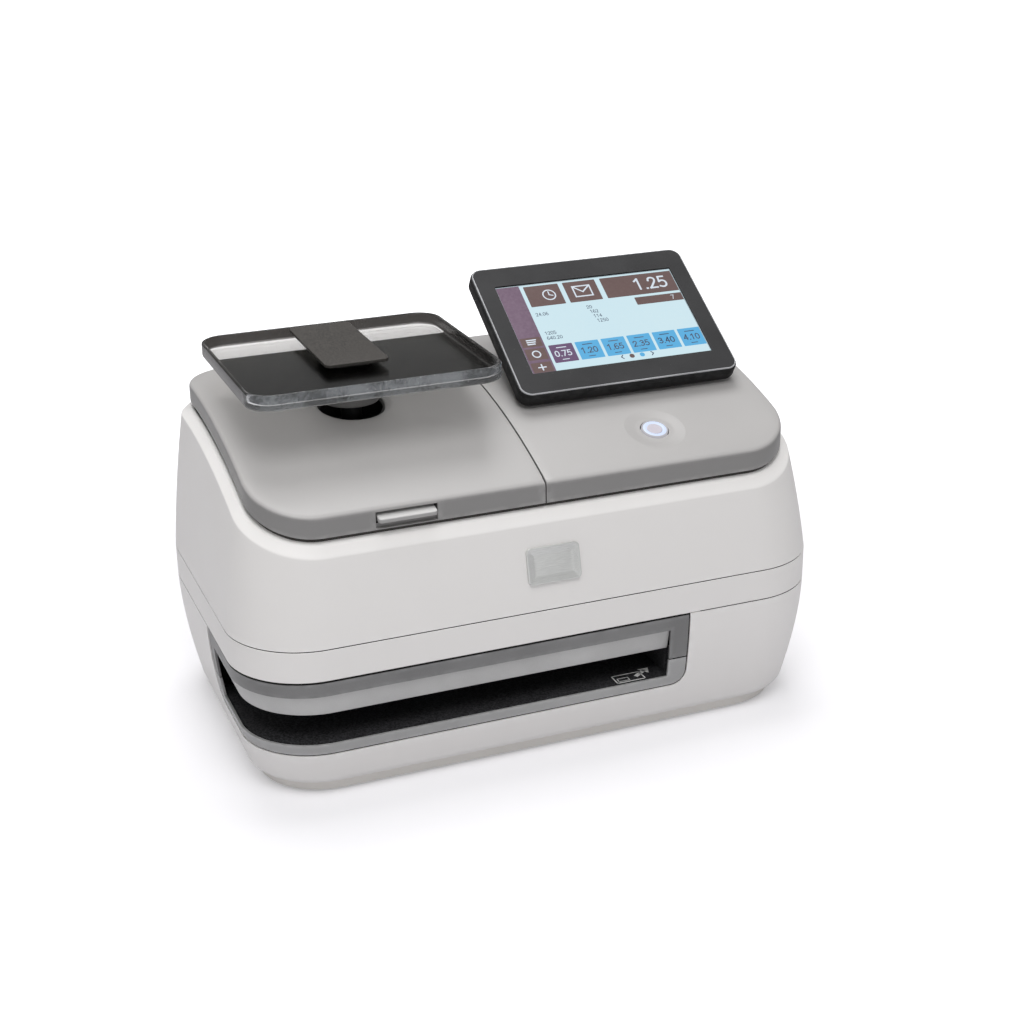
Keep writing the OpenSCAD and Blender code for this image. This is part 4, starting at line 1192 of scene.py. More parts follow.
    def pan(self) -> None:
        """Rim of the bottom pan: a profile with a round foot, carried round the outline."""
        r = self.pan_round
        foot = arc(r, 270.0, 180.0, 6) + np.array((self.pan_out + r, self.pan_low + r))
        wall = ((self.pan_out, 5.0), (self.pan_out, self.pan_high), (self.pan_in, self.pan_high))
        profile = np.concatenate((((self.pan_in, self.pan_low),), foot, wall))
        self._carried("pan_rim", profile).piece(PAN_GREY, Body.HOUSING, sharp=40.0)

    def band(self) -> None:
        """Middle band: a profile with rounded edges and a groove at each seam, carried round the outline."""
        f, d, ease = self.form, self.groove_depth, self.band_ease
        low, high = f.lower_seam, f.upper_seam
        turn = np.radians(np.linspace(0.0, 90.0, 4))
        s, c = self.band_round * (1 - np.sin(turn)), self.band_round * (1 - np.cos(turn))
        profile = np.concatenate((
            ((f.wall, low), (d, low), (d, low + f.groove)), pairs(s, low + f.groove + c),
            ((0.0, low + ease), (0.0, high - ease)), pairs(c, high - f.groove - s),
            ((d, high - f.groove), (d, high), (f.wall, high))))
        self._carried("middle_band_skin", profile).piece(WHITE_SHELL, Body.HOUSING, "middle_band", sharp=50.0)

    def upper(self) -> None:
        """Upper shell: its wall leans in while it climbs to the rim, which follows the crown; a wide bevel then
        leads up to the land that the covers stand over, and the hinge's ears stand at the back."""
        f = self.form
        path = PlanPath.even(118.0, 54.0, 7.0, 20)
        foot = f.climb(path, np.zeros(3), np.array((1.4, 0.45, 0.12)))
        foot[2, :, 2] += 0.12
        t = np.append(np.linspace(0.0, 1.0, 15)[:-1], 0.97)
        t[0] = 0.004
        bevel = np.linspace(*self.rim_bevel, 6)
        rim = np.concatenate((((f.rim_lean, f.rim_drop), self.rim_corner), bevel, self.mouth))
        top = f.crown.raise_plan(f.plan(path, rim[:, 0]), rim[:, 1:])
        back = np.linspace(5.0, 0.0, 6) / 6.0
        inner = f.climb(path, back * 0.98, f.lean(back) + f.wall)
        rings = np.concatenate((foot, f.climb(path, t, f.lean(t)), top, inner))
        surface = Surface("upper_skin").add(rings, closed=True, tube=True)
        y, z, r = self.hinge.y, self.hinge.z, self.hinge.radius
        base = ((y - r, z - self.ear_foot), (y + r, z - self.ear_foot))
        outline = np.concatenate((arc(r, 0.0, 180.0, 14) + np.array((y, z)), base))
        middle = outline.mean(axis=0)
        for x in (m + side for m in self.hinge.middles for side in self.ear_sides):
            rings = [np.column_stack((np.full(len(outline), x + d), middle + (outline - middle) * k))
                     for d, k in self.ear]
            surface.add(capped(np.stack(rings)), closed=True)
        surface.piece(WHITE_SHELL, Body.HOUSING, "upper_shell", sharp=40.0)

    def seam_shades(self) -> None:
        """Dark beads that paint shade: one in each seam's groove and one in the gap under the covers' lip, which
        also closes that gap.

        The lower seam's bead leaves out the few millimetres next to the slot's right end.
        """
        f = self.form
        long, short = f.straight
        path = PlanPath(stations(-long, long, 7.0, *self.bead_gap),
                        *(stations(-h, h, 9.0) for h in (short, long, short)), f.steps)
        section, lip = np.array(self.bead), np.array(self.lip_shade_bead)
        plan = f.plan(path, section[:, 0])
        lower = lift(plan, f.lower_seam + 0.5 * f.groove + section[:, 1])
        upper = lift(plan, f.upper_seam - 0.5 * f.groove + section[:, 1])
        at_end = (np.abs(plan[0, :, 0] - self.bead_gap[1]) < 0.01) & (plan[0, :, 1] < 0.0)
        start = int(np.nonzero(at_end)[0][0])
        along = np.swapaxes(np.roll(lower, -start, axis=1)[:, :-1], 0, 1)
        Surface("lower_seam_shade").add(capped(along), closed=True).piece(GAP_SHADE_BLACK, Body.HOUSING, sharp=40.0)
        Surface("upper_seam_shade").add(upper, closed=True, tube=True).piece(GAP_SHADE_BLACK, Body.HOUSING, sharp=40.0)
        plan = path.rings(*(v - lip[:, 0] for v in (self.lid.half_w, self.lid.half_d, self.lid.corner)))
        rings = f.crown.raise_plan(plan, lip[:, 1:])
        Surface("lid_gap_shade").add(rings, closed=True, tube=True).piece(LIP_GAP_SHADE, Body.HOUSING, sharp=40.0)

    def build(self) -> None:
        """All shells and beads."""
        for make in (self.base, self.pan, self.band, self.upper, self.seam_shades):
            make()


@dataclass
class SlotTrim:
    """Grey frame of the letter slot, a dark liner of painted shade in the gap round it, its throat and the mark on
    its deck.

    margin is the clear gap between the frame and the slot's edge, insets are the frame's faces behind the wall's,
    levels are heights of ring lines, the throat's lines are pairs (inset, height), and the mark's boxes are their
    corners and line widths.
    """

    form: BodyForm
    slot: SlotForm
    margin: float = 0.8
    front: float = 128.0
    steps: int = 20
    insets: tuple[float, float] = (0.5, 2.1)
    joint: float = 0.45
    upper_levels: tuple[float, ...] = (56.0, 61.0, 66.5)
    strip_levels: tuple[float, ...] = (75.0, 78.0, 80.7)
    trough_levels: tuple[float, ...] = (34.0, 36.2)
    leg_levels: tuple[float, ...] = (41.5, 44.5, 47.6)
    shade_liner_insets: tuple[float, float] = (0.95, 1.7)
    shade_liner_levels: tuple[float, ...] = (33.5, 36.0, 46.0, 56.0, 65.0, 74.5, 78.0, 81.5)
    shade_liner_span: tuple[float, float] = (36.0, 74.5)
    shade_liner_leg: float = 3.0
    throat_front: Line = ((2.6, 73.5), (2.75, 72.6), (4.3, 66.0))
    throat_back: Line = ((8.7, 57.6), (6.6, 66.0), (4.8, 73.5))
    throat_lip: float = 1.5
    lip_middle: tuple[float, float] = (7.55, 59.05)
    throat_reach: float = 1.5
    print_lift: float = 0.06
    boxes: tuple[tuple[tuple[float, ...], float], ...] = (
        ((44.5, -107.6, 63.5, -98.0), 0.9), ((46.3, -105.9, 53.6, -102.2), 0.6))
    shaft: tuple[Line, float] = (((60.0, -102.4), (66.3, -98.2)), 2.8)
    tip: Line = ((71.2, -95.0), (63.6, -95.2), (68.6, -101.8))
    path: PlanPath = field(init=False)
    order: Array = field(init=False)
    plan: Array = field(init=False)

    def __post_init__(self) -> None:
        """Lays the path from the slot's back end to its right end."""
        fronts, lefts = self.slot.marks(self.margin)
        long, short = self.form.straight
        self.path = PlanPath(
            stations(-self.front, self.front, 5.0, *fronts, self.slot.end), stations(-short, short, 20.0),
            stations(-long, long, 20.0), stations(-short, short, 5.0, *lefts, self.slot.leg), self.steps)
        plan = self.form.plan(self.path, 0.0)[0]
        inside = self.slot.depth(plan) >= self.margin - 0.001
        start = int(np.nonzero(inside & ~np.roll(inside, 1))[0][0])
        self.order = (np.arange(inside.sum()) + start) % len(plan)
        self.plan = plan[self.order]

    def _skin(self, z: Array, extra: float) -> Array:
        """Finds points of the base wall along the slot's path.

        Args:
            z: heights of shape (rings, stations).
            extra: inset behind the wall's face.

        Returns:
            Points of shape (rings, stations, 3).
        """
        full = np.repeat(z[:, :1], self.form.plan(self.path, 0.0).shape[1], axis=1)
        full[:, self.order] = z
        return self.form.on_base(self.path, full, extra)[:, self.order]

    def _legs(self, reach: float) -> Array:
        """Cells of the path that lie in the legs at the slot's ends, each shorter by a reach."""
        mid = 0.5 * (self.plan[1:] + self.plan[:-1])
        return ((mid[:, 0] > self.slot.end + reach) | (mid[:, 1] > self.slot.leg + reach))[None]

    def _bent(self, level: Array) -> Array:
        """Heights of ring lines that bend from level ones at the top to the slot's lower edge."""
        edge = self.slot.edge(self.slot.depth(self.plan), self.margin)[None]
        return edge + (level[:, None] - level[0]) * (level[-1] - edge) / (level[-1] - level[0])

    @staticmethod
    def _rows(level: Array) -> Array:
        """Heights midway between ring lines."""
        return 0.5 * (level[1:] + level[:-1])[:, None]

    def _frame(self, name: str, z: Array, keep: Array, insets: tuple[float, float]) -> Surface:
        """A thin frame of kept cells between two insets behind the base wall's face."""
        return Surface(name).add_wall(*(self._skin(z, inset) for inset in insets), keep)

    def gap_shade_liner(self) -> None:
        """Dark liner of painted shade that fills the gap round the frame: the frame's own shape, a little larger
        and further in.
        """
        level = np.array((self.slot.bottom + self.margin, *self.shade_liner_levels))
        rows, (low, high) = self._rows(level), self.shade_liner_span
        keep = (rows < low) | (rows > high) | self._legs(self.shade_liner_leg)
        shade_liner = self._frame("slot_gap_shade", self._bent(level), keep, self.shade_liner_insets)
        shade_liner.piece(GAP_SHADE_BLACK, Body.HOUSING, sharp=50.0)

    def frames(self) -> None:
        """Upper frame, a strip with a leg at each end, and lower frame, a rounded trough below it."""
        s, legs = self.slot, self._legs(0.0)
        level = np.array((s.split + self.joint, *self.upper_levels, s.strip, *self.strip_levels))
        z = np.repeat(level[:, None], len(self.plan), axis=1)
        upper = self._frame("slot_upper_frame", z, (self._rows(level) > s.strip) | legs, self.insets)
        upper.piece(TRIM_GREY, Body.HOUSING, "slot_upper_trim", bevel=0.3)
        level = np.array((s.bottom + self.margin, *self.trough_levels, s.deck, *self.leg_levels,
                          s.split - self.joint))
        keep = (self._rows(level) < s.deck) | legs
        lower = self._frame("slot_lower_frame", self._bent(level), keep, self.insets)
        lower.piece(TRIM_PALE, Body.HOUSING, "slot_lower_trim", bevel=0.3)

    def throat(self) -> None:
        """Light throat: a leaning profile with a round lower lip, carried along the slot."""
        lip = arc(self.throat_lip, 200.0, 290.0, 5) + np.array(self.lip_middle)
        profile = np.concatenate((self.throat_front, lip, self.throat_back))
        rings = lift(self.form.plan(self.path, profile[:, 0])[:, self.order], profile[:, 1])
        ends = (self.slot.end + self.throat_reach, self.slot.leg + self.throat_reach)
        inside = (rings[0, :, :2] < np.array(ends)).all(axis=1)
        along = np.swapaxes(rings[:, inside], 0, 1)
        surface = Surface("slot_throat_lip").add(capped(along), closed=True)
        surface.piece(THROAT_GREY, Body.HOUSING, "slot_throat", sharp=40.0)

    def mark(self) -> None:
        """White letter and arrow on the deck: flat strips along lines just above it."""
        z = self.slot.deck + self.print_lift
        strokes = [(side, width) for box, width in self.boxes for side in box_sides(*box)]
        surface = Surface("deck_mark")
        for ends, width in (*strokes, self.shaft):
            surface.add(lift(ribbon(np.array(ends), width), z))
        surface.add(lift(np.array(self.tip)[[0, 1, 0, 2]].reshape(2, 2, 2), z))
        surface.piece(PRINT_WHITE, Body.HOUSING, shell=False)


@dataclass(frozen=True)
class CoverPlan:
    """One half of the crowned lid in plan: a core block, a side strip and two round corners.

    Everything is written for the right half; the left half is its mirror image.
    """

    columns: Array
    rows: Array
    lid: LidForm = LidForm()
    rim_steps: int = 7
    arc_steps: int = 18

    def core(self) -> tuple[float, float]:
        """Middle of the rear right corner's circle."""
        return self.lid.half_w - self.lid.corner, self.lid.half_d - self.lid.corner

    def lines(self, inset: float, seam: float) -> tuple[Array, Array, Array]:
        """Finds the lines of the patches.

        Args:
            inset: inset from the lid's outline.
            seam: inset from the split.

        Returns:
            X lines of the core, its Y lines, and the distances from a corner's middle.
        """
        cx, cy = self.core()
        rho = (self.lid.corner - inset) * np.linspace(0.0, 1.0, self.rim_steps + 1)
        xs = np.concatenate(([self.lid.split + seam], self.columns, [cx]))
        ys = np.concatenate((-cy - rho[:0:-1], [-cy], self.rows, [cy], cy + rho[1:]))
        return xs, ys, rho

    def patches(self, inset: float, seam: float) -> list[Array]:
        """Lays out the core, the side strip and the two corners.

        Args:
            inset: inset from the lid's outline.
            seam: inset from the split.

        Returns:
            The four as grids of plan points.
        """
        (xs, ys, rho), (cx, cy) = self.lines(inset, seam), self.core()
        inner = np.concatenate(([-cy], self.rows, [cy]))
        core, side = (np.stack(np.meshgrid(x, y), axis=-1) for x, y in ((xs, ys), (cx + rho, inner)))
        t = np.radians(np.linspace(0.0, 90.0, self.arc_steps + 1))[:, None]
        return [core, side, *(pairs(cx + rho * np.cos(t), s * (cy + rho * np.sin(t))) for s in (-1, 1))]

    def loop(self, inset: float, seam: float) -> Array:
        """Walks the edge of those patches: front, corner, side, corner, back and split.

        Args:
            inset: inset from the lid's outline.
            seam: inset from the split.

        Returns:
            Plan points of the walk.
        """
        (xs, ys, rho), (cx, cy) = self.lines(inset, seam), self.core()
        t = np.radians(np.linspace(-90.0, 0.0, self.arc_steps + 1))[1:]
        r, turned = rho[-1], t + np.pi / 2
        return np.concatenate((
            pairs(xs, ys[0]), pairs(cx + r * np.cos(t), -cy + r * np.sin(t)),
            pairs(cx + r, np.append(self.rows, cy)), pairs(cx + r * np.cos(turned), cy + r * np.sin(turned)),
            pairs(xs[::-1][1:], ys[-1]), pairs(xs[0], ys[::-1][1:-1])))


@dataclass
class Cover:
    """A grey cover half: crowned top, rounded edge, lip, underside and the openings in it.

    side is 1 for the right half and -1 for the left, and drops are measured down from the crown.
    """

    name: str
    side: int
    crown: Crown
    plan: CoverPlan
    edge: float = 2.6
    seam_edge: float = 0.6
    thick: float = 2.4
    lip: float = 12.2
    lip_foot: float = 11.7
    lip_insets: tuple[float, float] = (0.5, 1.9)
    turns: tuple[float, ...] = (0.0, 18.0, 36.0, 54.0, 74.6, 90.0)
    inner_drops: tuple[float, ...] = (9.6, 7.5, 5.4, 3.6, 2.95)
    pocket_rings: tuple[int, int] = (4, 17)
    front: float = -90.0
    holes: list[tuple[slice, slice]] = field(default_factory=list)
    surface: Surface = field(init=False)

    def __post_init__(self) -> None:
        """Starts the cover's surface."""
        self.surface = Surface(self.name)

    def put(self, grid: Array, **how: object) -> None:
        """Adds a grid of the right half on this cover's side."""
        self.surface.add(grid * np.array((float(self.side), 1.0, 1.0)), **how)

    def cut(self, x0: float, x1: float, y0: float, y1: float) -> tuple[Array, Array]:
        """Leaves a block out of the top and underside.

        Args:
            x0: its first column line.
            x1: its last column line.
            y0: its first row line.
            y1: its last row line.

        Returns:
            The block's edge on the top and on the underside, walked counter-clockwise.
        """
        xs, ys, _ = self.plan.lines(self.edge, self.seam_edge)
        i0, i1 = (int(np.abs(xs - v).argmin()) for v in (x0, x1))
        j0, j1 = (int(np.abs(ys - v).argmin()) for v in (y0, y1))
        self.holes.append((slice(j0, j1), slice(i0, i1)))
        bx, by = xs[i0:i1 + 1], ys[j0:j1 + 1]
        walk = np.concatenate((pairs(bx, by[0]), pairs(bx[-1], by[1:]), pairs(bx[::-1][1:], by[-1]),
                               pairs(bx[0], by[::-1][1:-1])))
        return self.crown.raise_plan(walk), self.crown.raise_plan(walk, self.thick)

    def _rings(self) -> Array:
        """Goes down the rounded edge and the lip, and up the lip's inside.

        A point of the edge at angle p lies inset by f (1 - sin p) and dropped by f (1 - cos p), with f the edge's
        radius on the outside and the smaller one along the split.

        Returns:
            The rings.
        """
        f, g, foot = self.edge, self.seam_edge, self.lip_foot
        steps = [(f * (1 - math.sin(p)), g * (1 - math.sin(p)), f * (1 - math.cos(p)), g * (1 - math.cos(p)))
                 for p in np.radians(self.turns)]
        steps += [(0.0, 0.0, f + (foot - f) * u, g + (foot - g) * u) for u in (0.25, 0.5, 0.75, 1.0)]
        steps += [(inset, inset, self.lip, self.lip) for inset in self.lip_insets]
        steps += [(self.thick, self.thick, d, d) for d in (foot, *self.inner_drops, self.thick)]
        split = len(self.plan.lines(0.0, 0.0)[1]) - 2
        on_split = np.arange(len(self.plan.loop(0.0, 0.0)))[::-1] < split
        return np.stack([self.crown.raise_plan(self.plan.loop(inset, seam), np.where(on_split, seam_drop, drop))
                         for inset, seam, drop, seam_drop in steps])

    def skin(self, pocket: tuple[float, float] | None = None) -> None:
        """Adds the top, the rounded edge, the lip and the underside.

        Args:
            pocket: a span of x that is left out of the front lip.
        """
        xs, ys, _ = self.plan.lines(self.edge, self.seam_edge)
        keep = np.ones((len(ys) - 1, len(xs) - 1), bool)
        for hole in self.holes:
            keep[hole] = False
        for inset, seam, drop in ((self.edge, self.seam_edge, 0.0), (self.thick, self.thick, self.thick)):
            for number, patch in enumerate(self.plan.patches(inset, seam)):
                self.put(self.crown.raise_plan(patch, drop), keep=keep if number == 0 else None)
        grid = self._rings()
        mask = np.ones((len(grid) - 1, grid.shape[1]), bool)
        if pocket:
            mid = 0.5 * (grid[0] + np.roll(grid[0], -1, axis=0))
            inside = (mid[:, 1] < self.front) & (mid[:, 0] > pocket[0]) & (mid[:, 0] < pocket[1])
            cells = np.nonzero(inside)[0]
            top, foot = self.pocket_rings
            mask[top:foot, cells] = False
            cols = np.append(cells, cells[-1] + 1)
            self.put(grid[[top, foot]][:, cols])
            half = (top + foot) // 2
            for c in (cols[0], cols[-1]):
                self.put(np.stack((grid[top:half + 1, c], grid[foot:half:-1, c])))
        self.put(grid, closed=True, keep=mask)

    def finish(self, node: str, body: Body) -> None:
        """Makes the finished cover a piece."""
        self.surface.piece(COVER_GREY, body, node, sharp=35.0)


def disc_lines(middle: float, half: float, steps: int = 6) -> Array:
    """Lines through a square block that cut it at even angles round its middle: middle + half tan(a)."""
    return middle + half * np.tan(np.radians(np.linspace(-45.0, 45.0, 2 * steps + 1)))


def merge_lines(low: float, high: float, step: float, *blocks: Array, apart: float = 0.0) -> Array:
    """Sets even lines outside the given blocks of lines.

    Args:
        low: the first even line.
        high: the last even line.
        step: how far apart the even lines are.
        blocks: lines that have to be there.
        apart: a line that is no further than this from the line before it is left out.

    Returns:
        All lines in order.
    """
    even = np.arange(low, high + 0.1, step)
    for block in blocks:
        even = even[(even < block[0] - 0.4 * step) | (even > block[-1] + 0.4 * step)]
    lines = np.unique(np.concatenate((even, *blocks)))
    return lines[np.append(True, np.diff(lines) > apart)]


COLUMN_LINES = (6.0, 130.0, 7.0)
ROW_LINES = (-60.0, 60.0, 6.5)
LINE_GAP = 0.2


@dataclass(frozen=True)
class ScaleCover:
    """Left cover with the scale's well hole, the latch pocket, hinge barrels and inner posts.

    The hole's middle and the pocket are given on the right half, which the cover mirrors. A row of the soft edge
    is (radius, drop, share of the scoop), and a fixing is a slab with its place in plan.
    """

    crown: Crown
    hinge: Hinge
    centre: tuple[float, float] = (86.5, 3.0)
    block: float = 30.0
    hole: float = 21.0
    pocket: tuple[float, float] = (67.8, 105.2)
    scoop: float = 1.3
    scoop_turn: float = 200.0
    soft_edge: tuple[tuple[float, float, float], ...] = (
        (27.0, 0.0, 0.0), (25.2, 0.0, 0.1), (24.0, 0.0, 0.55), (23.0, 0.02, 0.9), (22.3, 0.2, 1.0),
        (21.6, 0.45, 1.05), (21.2, 0.85, 1.1), (21.0, 1.25, 1.2))
    pin: float = 1.58
    knuckle: float = 9.0
    arm_ahead: float = 2.9
    posts_x: tuple[float, float] = (-108.0, -17.0)
    posts_y: tuple[float, float] = (-23.0, 29.0)
    post_low: float = 172.5
    post_sunk: float = 1.4
    fixings: tuple[tuple[Slab, float, float], ...] = (
        (Slab(1.5, 6.35, 0.8, 165.2, 176.0, 0.5, 0.5), -107.5, -93.4),
        (Slab(1.5, 6.35, 0.8, 165.2, 176.0, 0.5, 0.5), -65.5, -93.4),
        (Slab(18.9, 0.6, 0.2, 164.2, 167.3, 0.15, 0.3), -86.5, -98.0),
        (Slab(18.9, 1.6, 0.2, 163.7, 164.4, 0.15, 0.25), -86.5, -99.2))

    def build(self) -> None:
        """Makes the cover: its skin, the round hole with a soft edge and a shallow scoop, and the fixings."""
        cx, cy = self.centre
        half = self.block
        columns = merge_lines(*COLUMN_LINES, disc_lines(cx, half), np.array(self.pocket), apart=LINE_GAP)
        rows = merge_lines(*ROW_LINES, disc_lines(cy, half))
        cover = Cover("scale_cover_skin", -1, self.crown, CoverPlan(columns, rows))
        top, under = cover.cut(cx - half, cx + half, cy - half, cy + half)
        angle = np.arctan2(top[:, 1] - cy, top[:, 0] - cx)
        ray = pairs(np.cos(angle), np.sin(angle))
        scoop = self.scoop * np.clip(np.cos(angle - np.radians(self.scoop_turn)), 0.0, 1.0) ** 3
        rings = [self.crown.raise_plan(np.array((cx, cy)) + rho * ray, drop + dip * scoop)
                 for rho, drop, dip in self.soft_edge]
        edge = self.crown.raise_plan(np.array((cx, cy)) + self.hole * ray, cover.thick)
        cover.put(np.stack((top, *rings, edge, under)), closed=True)
        cover.skin(self.pocket)
        self._fix(cover.surface)
        cover.finish("scale_cover", Body.SCALE_LID)

    def _fix(self, surface: Surface) -> None:
        """Adds the hinge's barrels, the load cell's posts, and the latch's lugs and stops.

        Args:
            surface: the cover's surface.
        """
        h = self.hinge
        for x in h.middles:
            sleeve = barrel(self.pin, h.radius, self.knuckle, 28)
            surface.add(sleeve + np.array((x, h.y, h.z)), closed=True, tube=True)
            arm = Slab(self.knuckle, 2.6, 0.5, h.z - 1.0, h.z + 3.4, 0.4, 0.8)
            surface.add(arm.at(x, h.y - self.arm_ahead), closed=True)
        for x in self.posts_x:
            for y in self.posts_y:
                low, high = self.post_low, float(self.crown.height(y)) - self.post_sunk
                profile = ((0.0, low), (3.5, low), (4.0, low + 0.5), (4.0, high - 2.0), (5.5, high), (0.0, high))
                surface.add(lathe(profile, 24, x, y), closed=True)
        for slab, x, y in self.fixings:
            surface.add(slab.at(x, y), closed=True)


@dataclass(frozen=True)
class DisplayCover:
    """Right cover with the button's dish and the slot for the display's bracket.

    The dish is a cone of the given radius and slope down to a flat ring, drawn at the listed radii. The bore's and
    the posts' lines are pairs (radius, depth) and (radius, height).
    """

    crown: Crown
    axis: ButtonAxis
    block: float = 23.0
    dish: tuple[float, ...] = (21.0, 19.8, 19.4, 19.0, 17.5, 15.5, 13.5, 12.4, 12.0, 11.0, 9.8, 9.4)
    dish_radius: float = 19.2
    dish_run: float = 7.0
    dish_depth: float = 1.0
    bore: Line = ((9.2, 1.04), (9.06, 1.2), (9.05, 1.6), (9.05, 2.55))
    slot_x: tuple[float, float] = (40.7, 130.5)
    slot_y: tuple[float, float] = (-27.6, -11.6)
    first_row: float = -63.0
    post: Line = ((0.0, 150.0), (3.5, 150.0), (4.0, 150.5), (4.0, 202.0), (0.0, 202.0))
    posts_x: tuple[float, float] = (31.2, 140.0)
    posts_y: float = -2.0
    switch_post: Line = ((0.0, -11.6), (2.2, -11.6), (2.5, -11.2), (2.5, -1.6), (0.0, -1.6))
    switch_posts_x: tuple[float, float] = (-14.0, 14.0)

    def build(self) -> None:
        """Makes the cover: its skin, the dish, the bracket's slot and the posts below."""
        bx, by, half = self.axis.x, self.axis.y, self.block
        columns = merge_lines(*COLUMN_LINES, disc_lines(bx, half), np.array(self.slot_x), apart=LINE_GAP)
        lines = disc_lines(by, half)
        rows = merge_lines(*ROW_LINES, lines[lines > self.first_row], np.array(self.slot_y))
        cover = Cover("display_cover_skin", 1, self.crown, CoverPlan(columns, rows))
        top, under = cover.cut(bx - half, bx + half, by - half, by + half)
        lean = math.radians(self.axis.lean)
        normal = np.array((0.0, -math.sin(lean), math.cos(lean)))
        angle = np.arctan2((top[:, 1] - by) / math.cos(lean), top[:, 0] - bx)
        sunk = np.clip((self.dish_radius - np.array(self.dish)) / self.dish_run, 0.0, self.dish_depth)
        rings = []
        for rho, depth in (*zip(self.dish, sunk), *self.bore):
            plan = pairs(bx + rho * np.cos(angle), by + rho * np.sin(angle) * math.cos(lean))
            rings.append(self.crown.raise_plan(plan) - normal * depth)
        cover.put(np.stack((top, *rings, under)), closed=True)
        cover.put(np.stack(cover.cut(*self.slot_x, *self.slot_y)), closed=True)
        cover.skin()
        for x in self.posts_x:
            cover.surface.add(lathe(self.post, 24, x, self.posts_y), closed=True)
        for x in self.switch_posts_x:
            cover.surface.add(self.axis.pose().world(lathe(self.switch_post, 20, x)), closed=True)
        cover.finish("display_cover", Body.HOUSING)


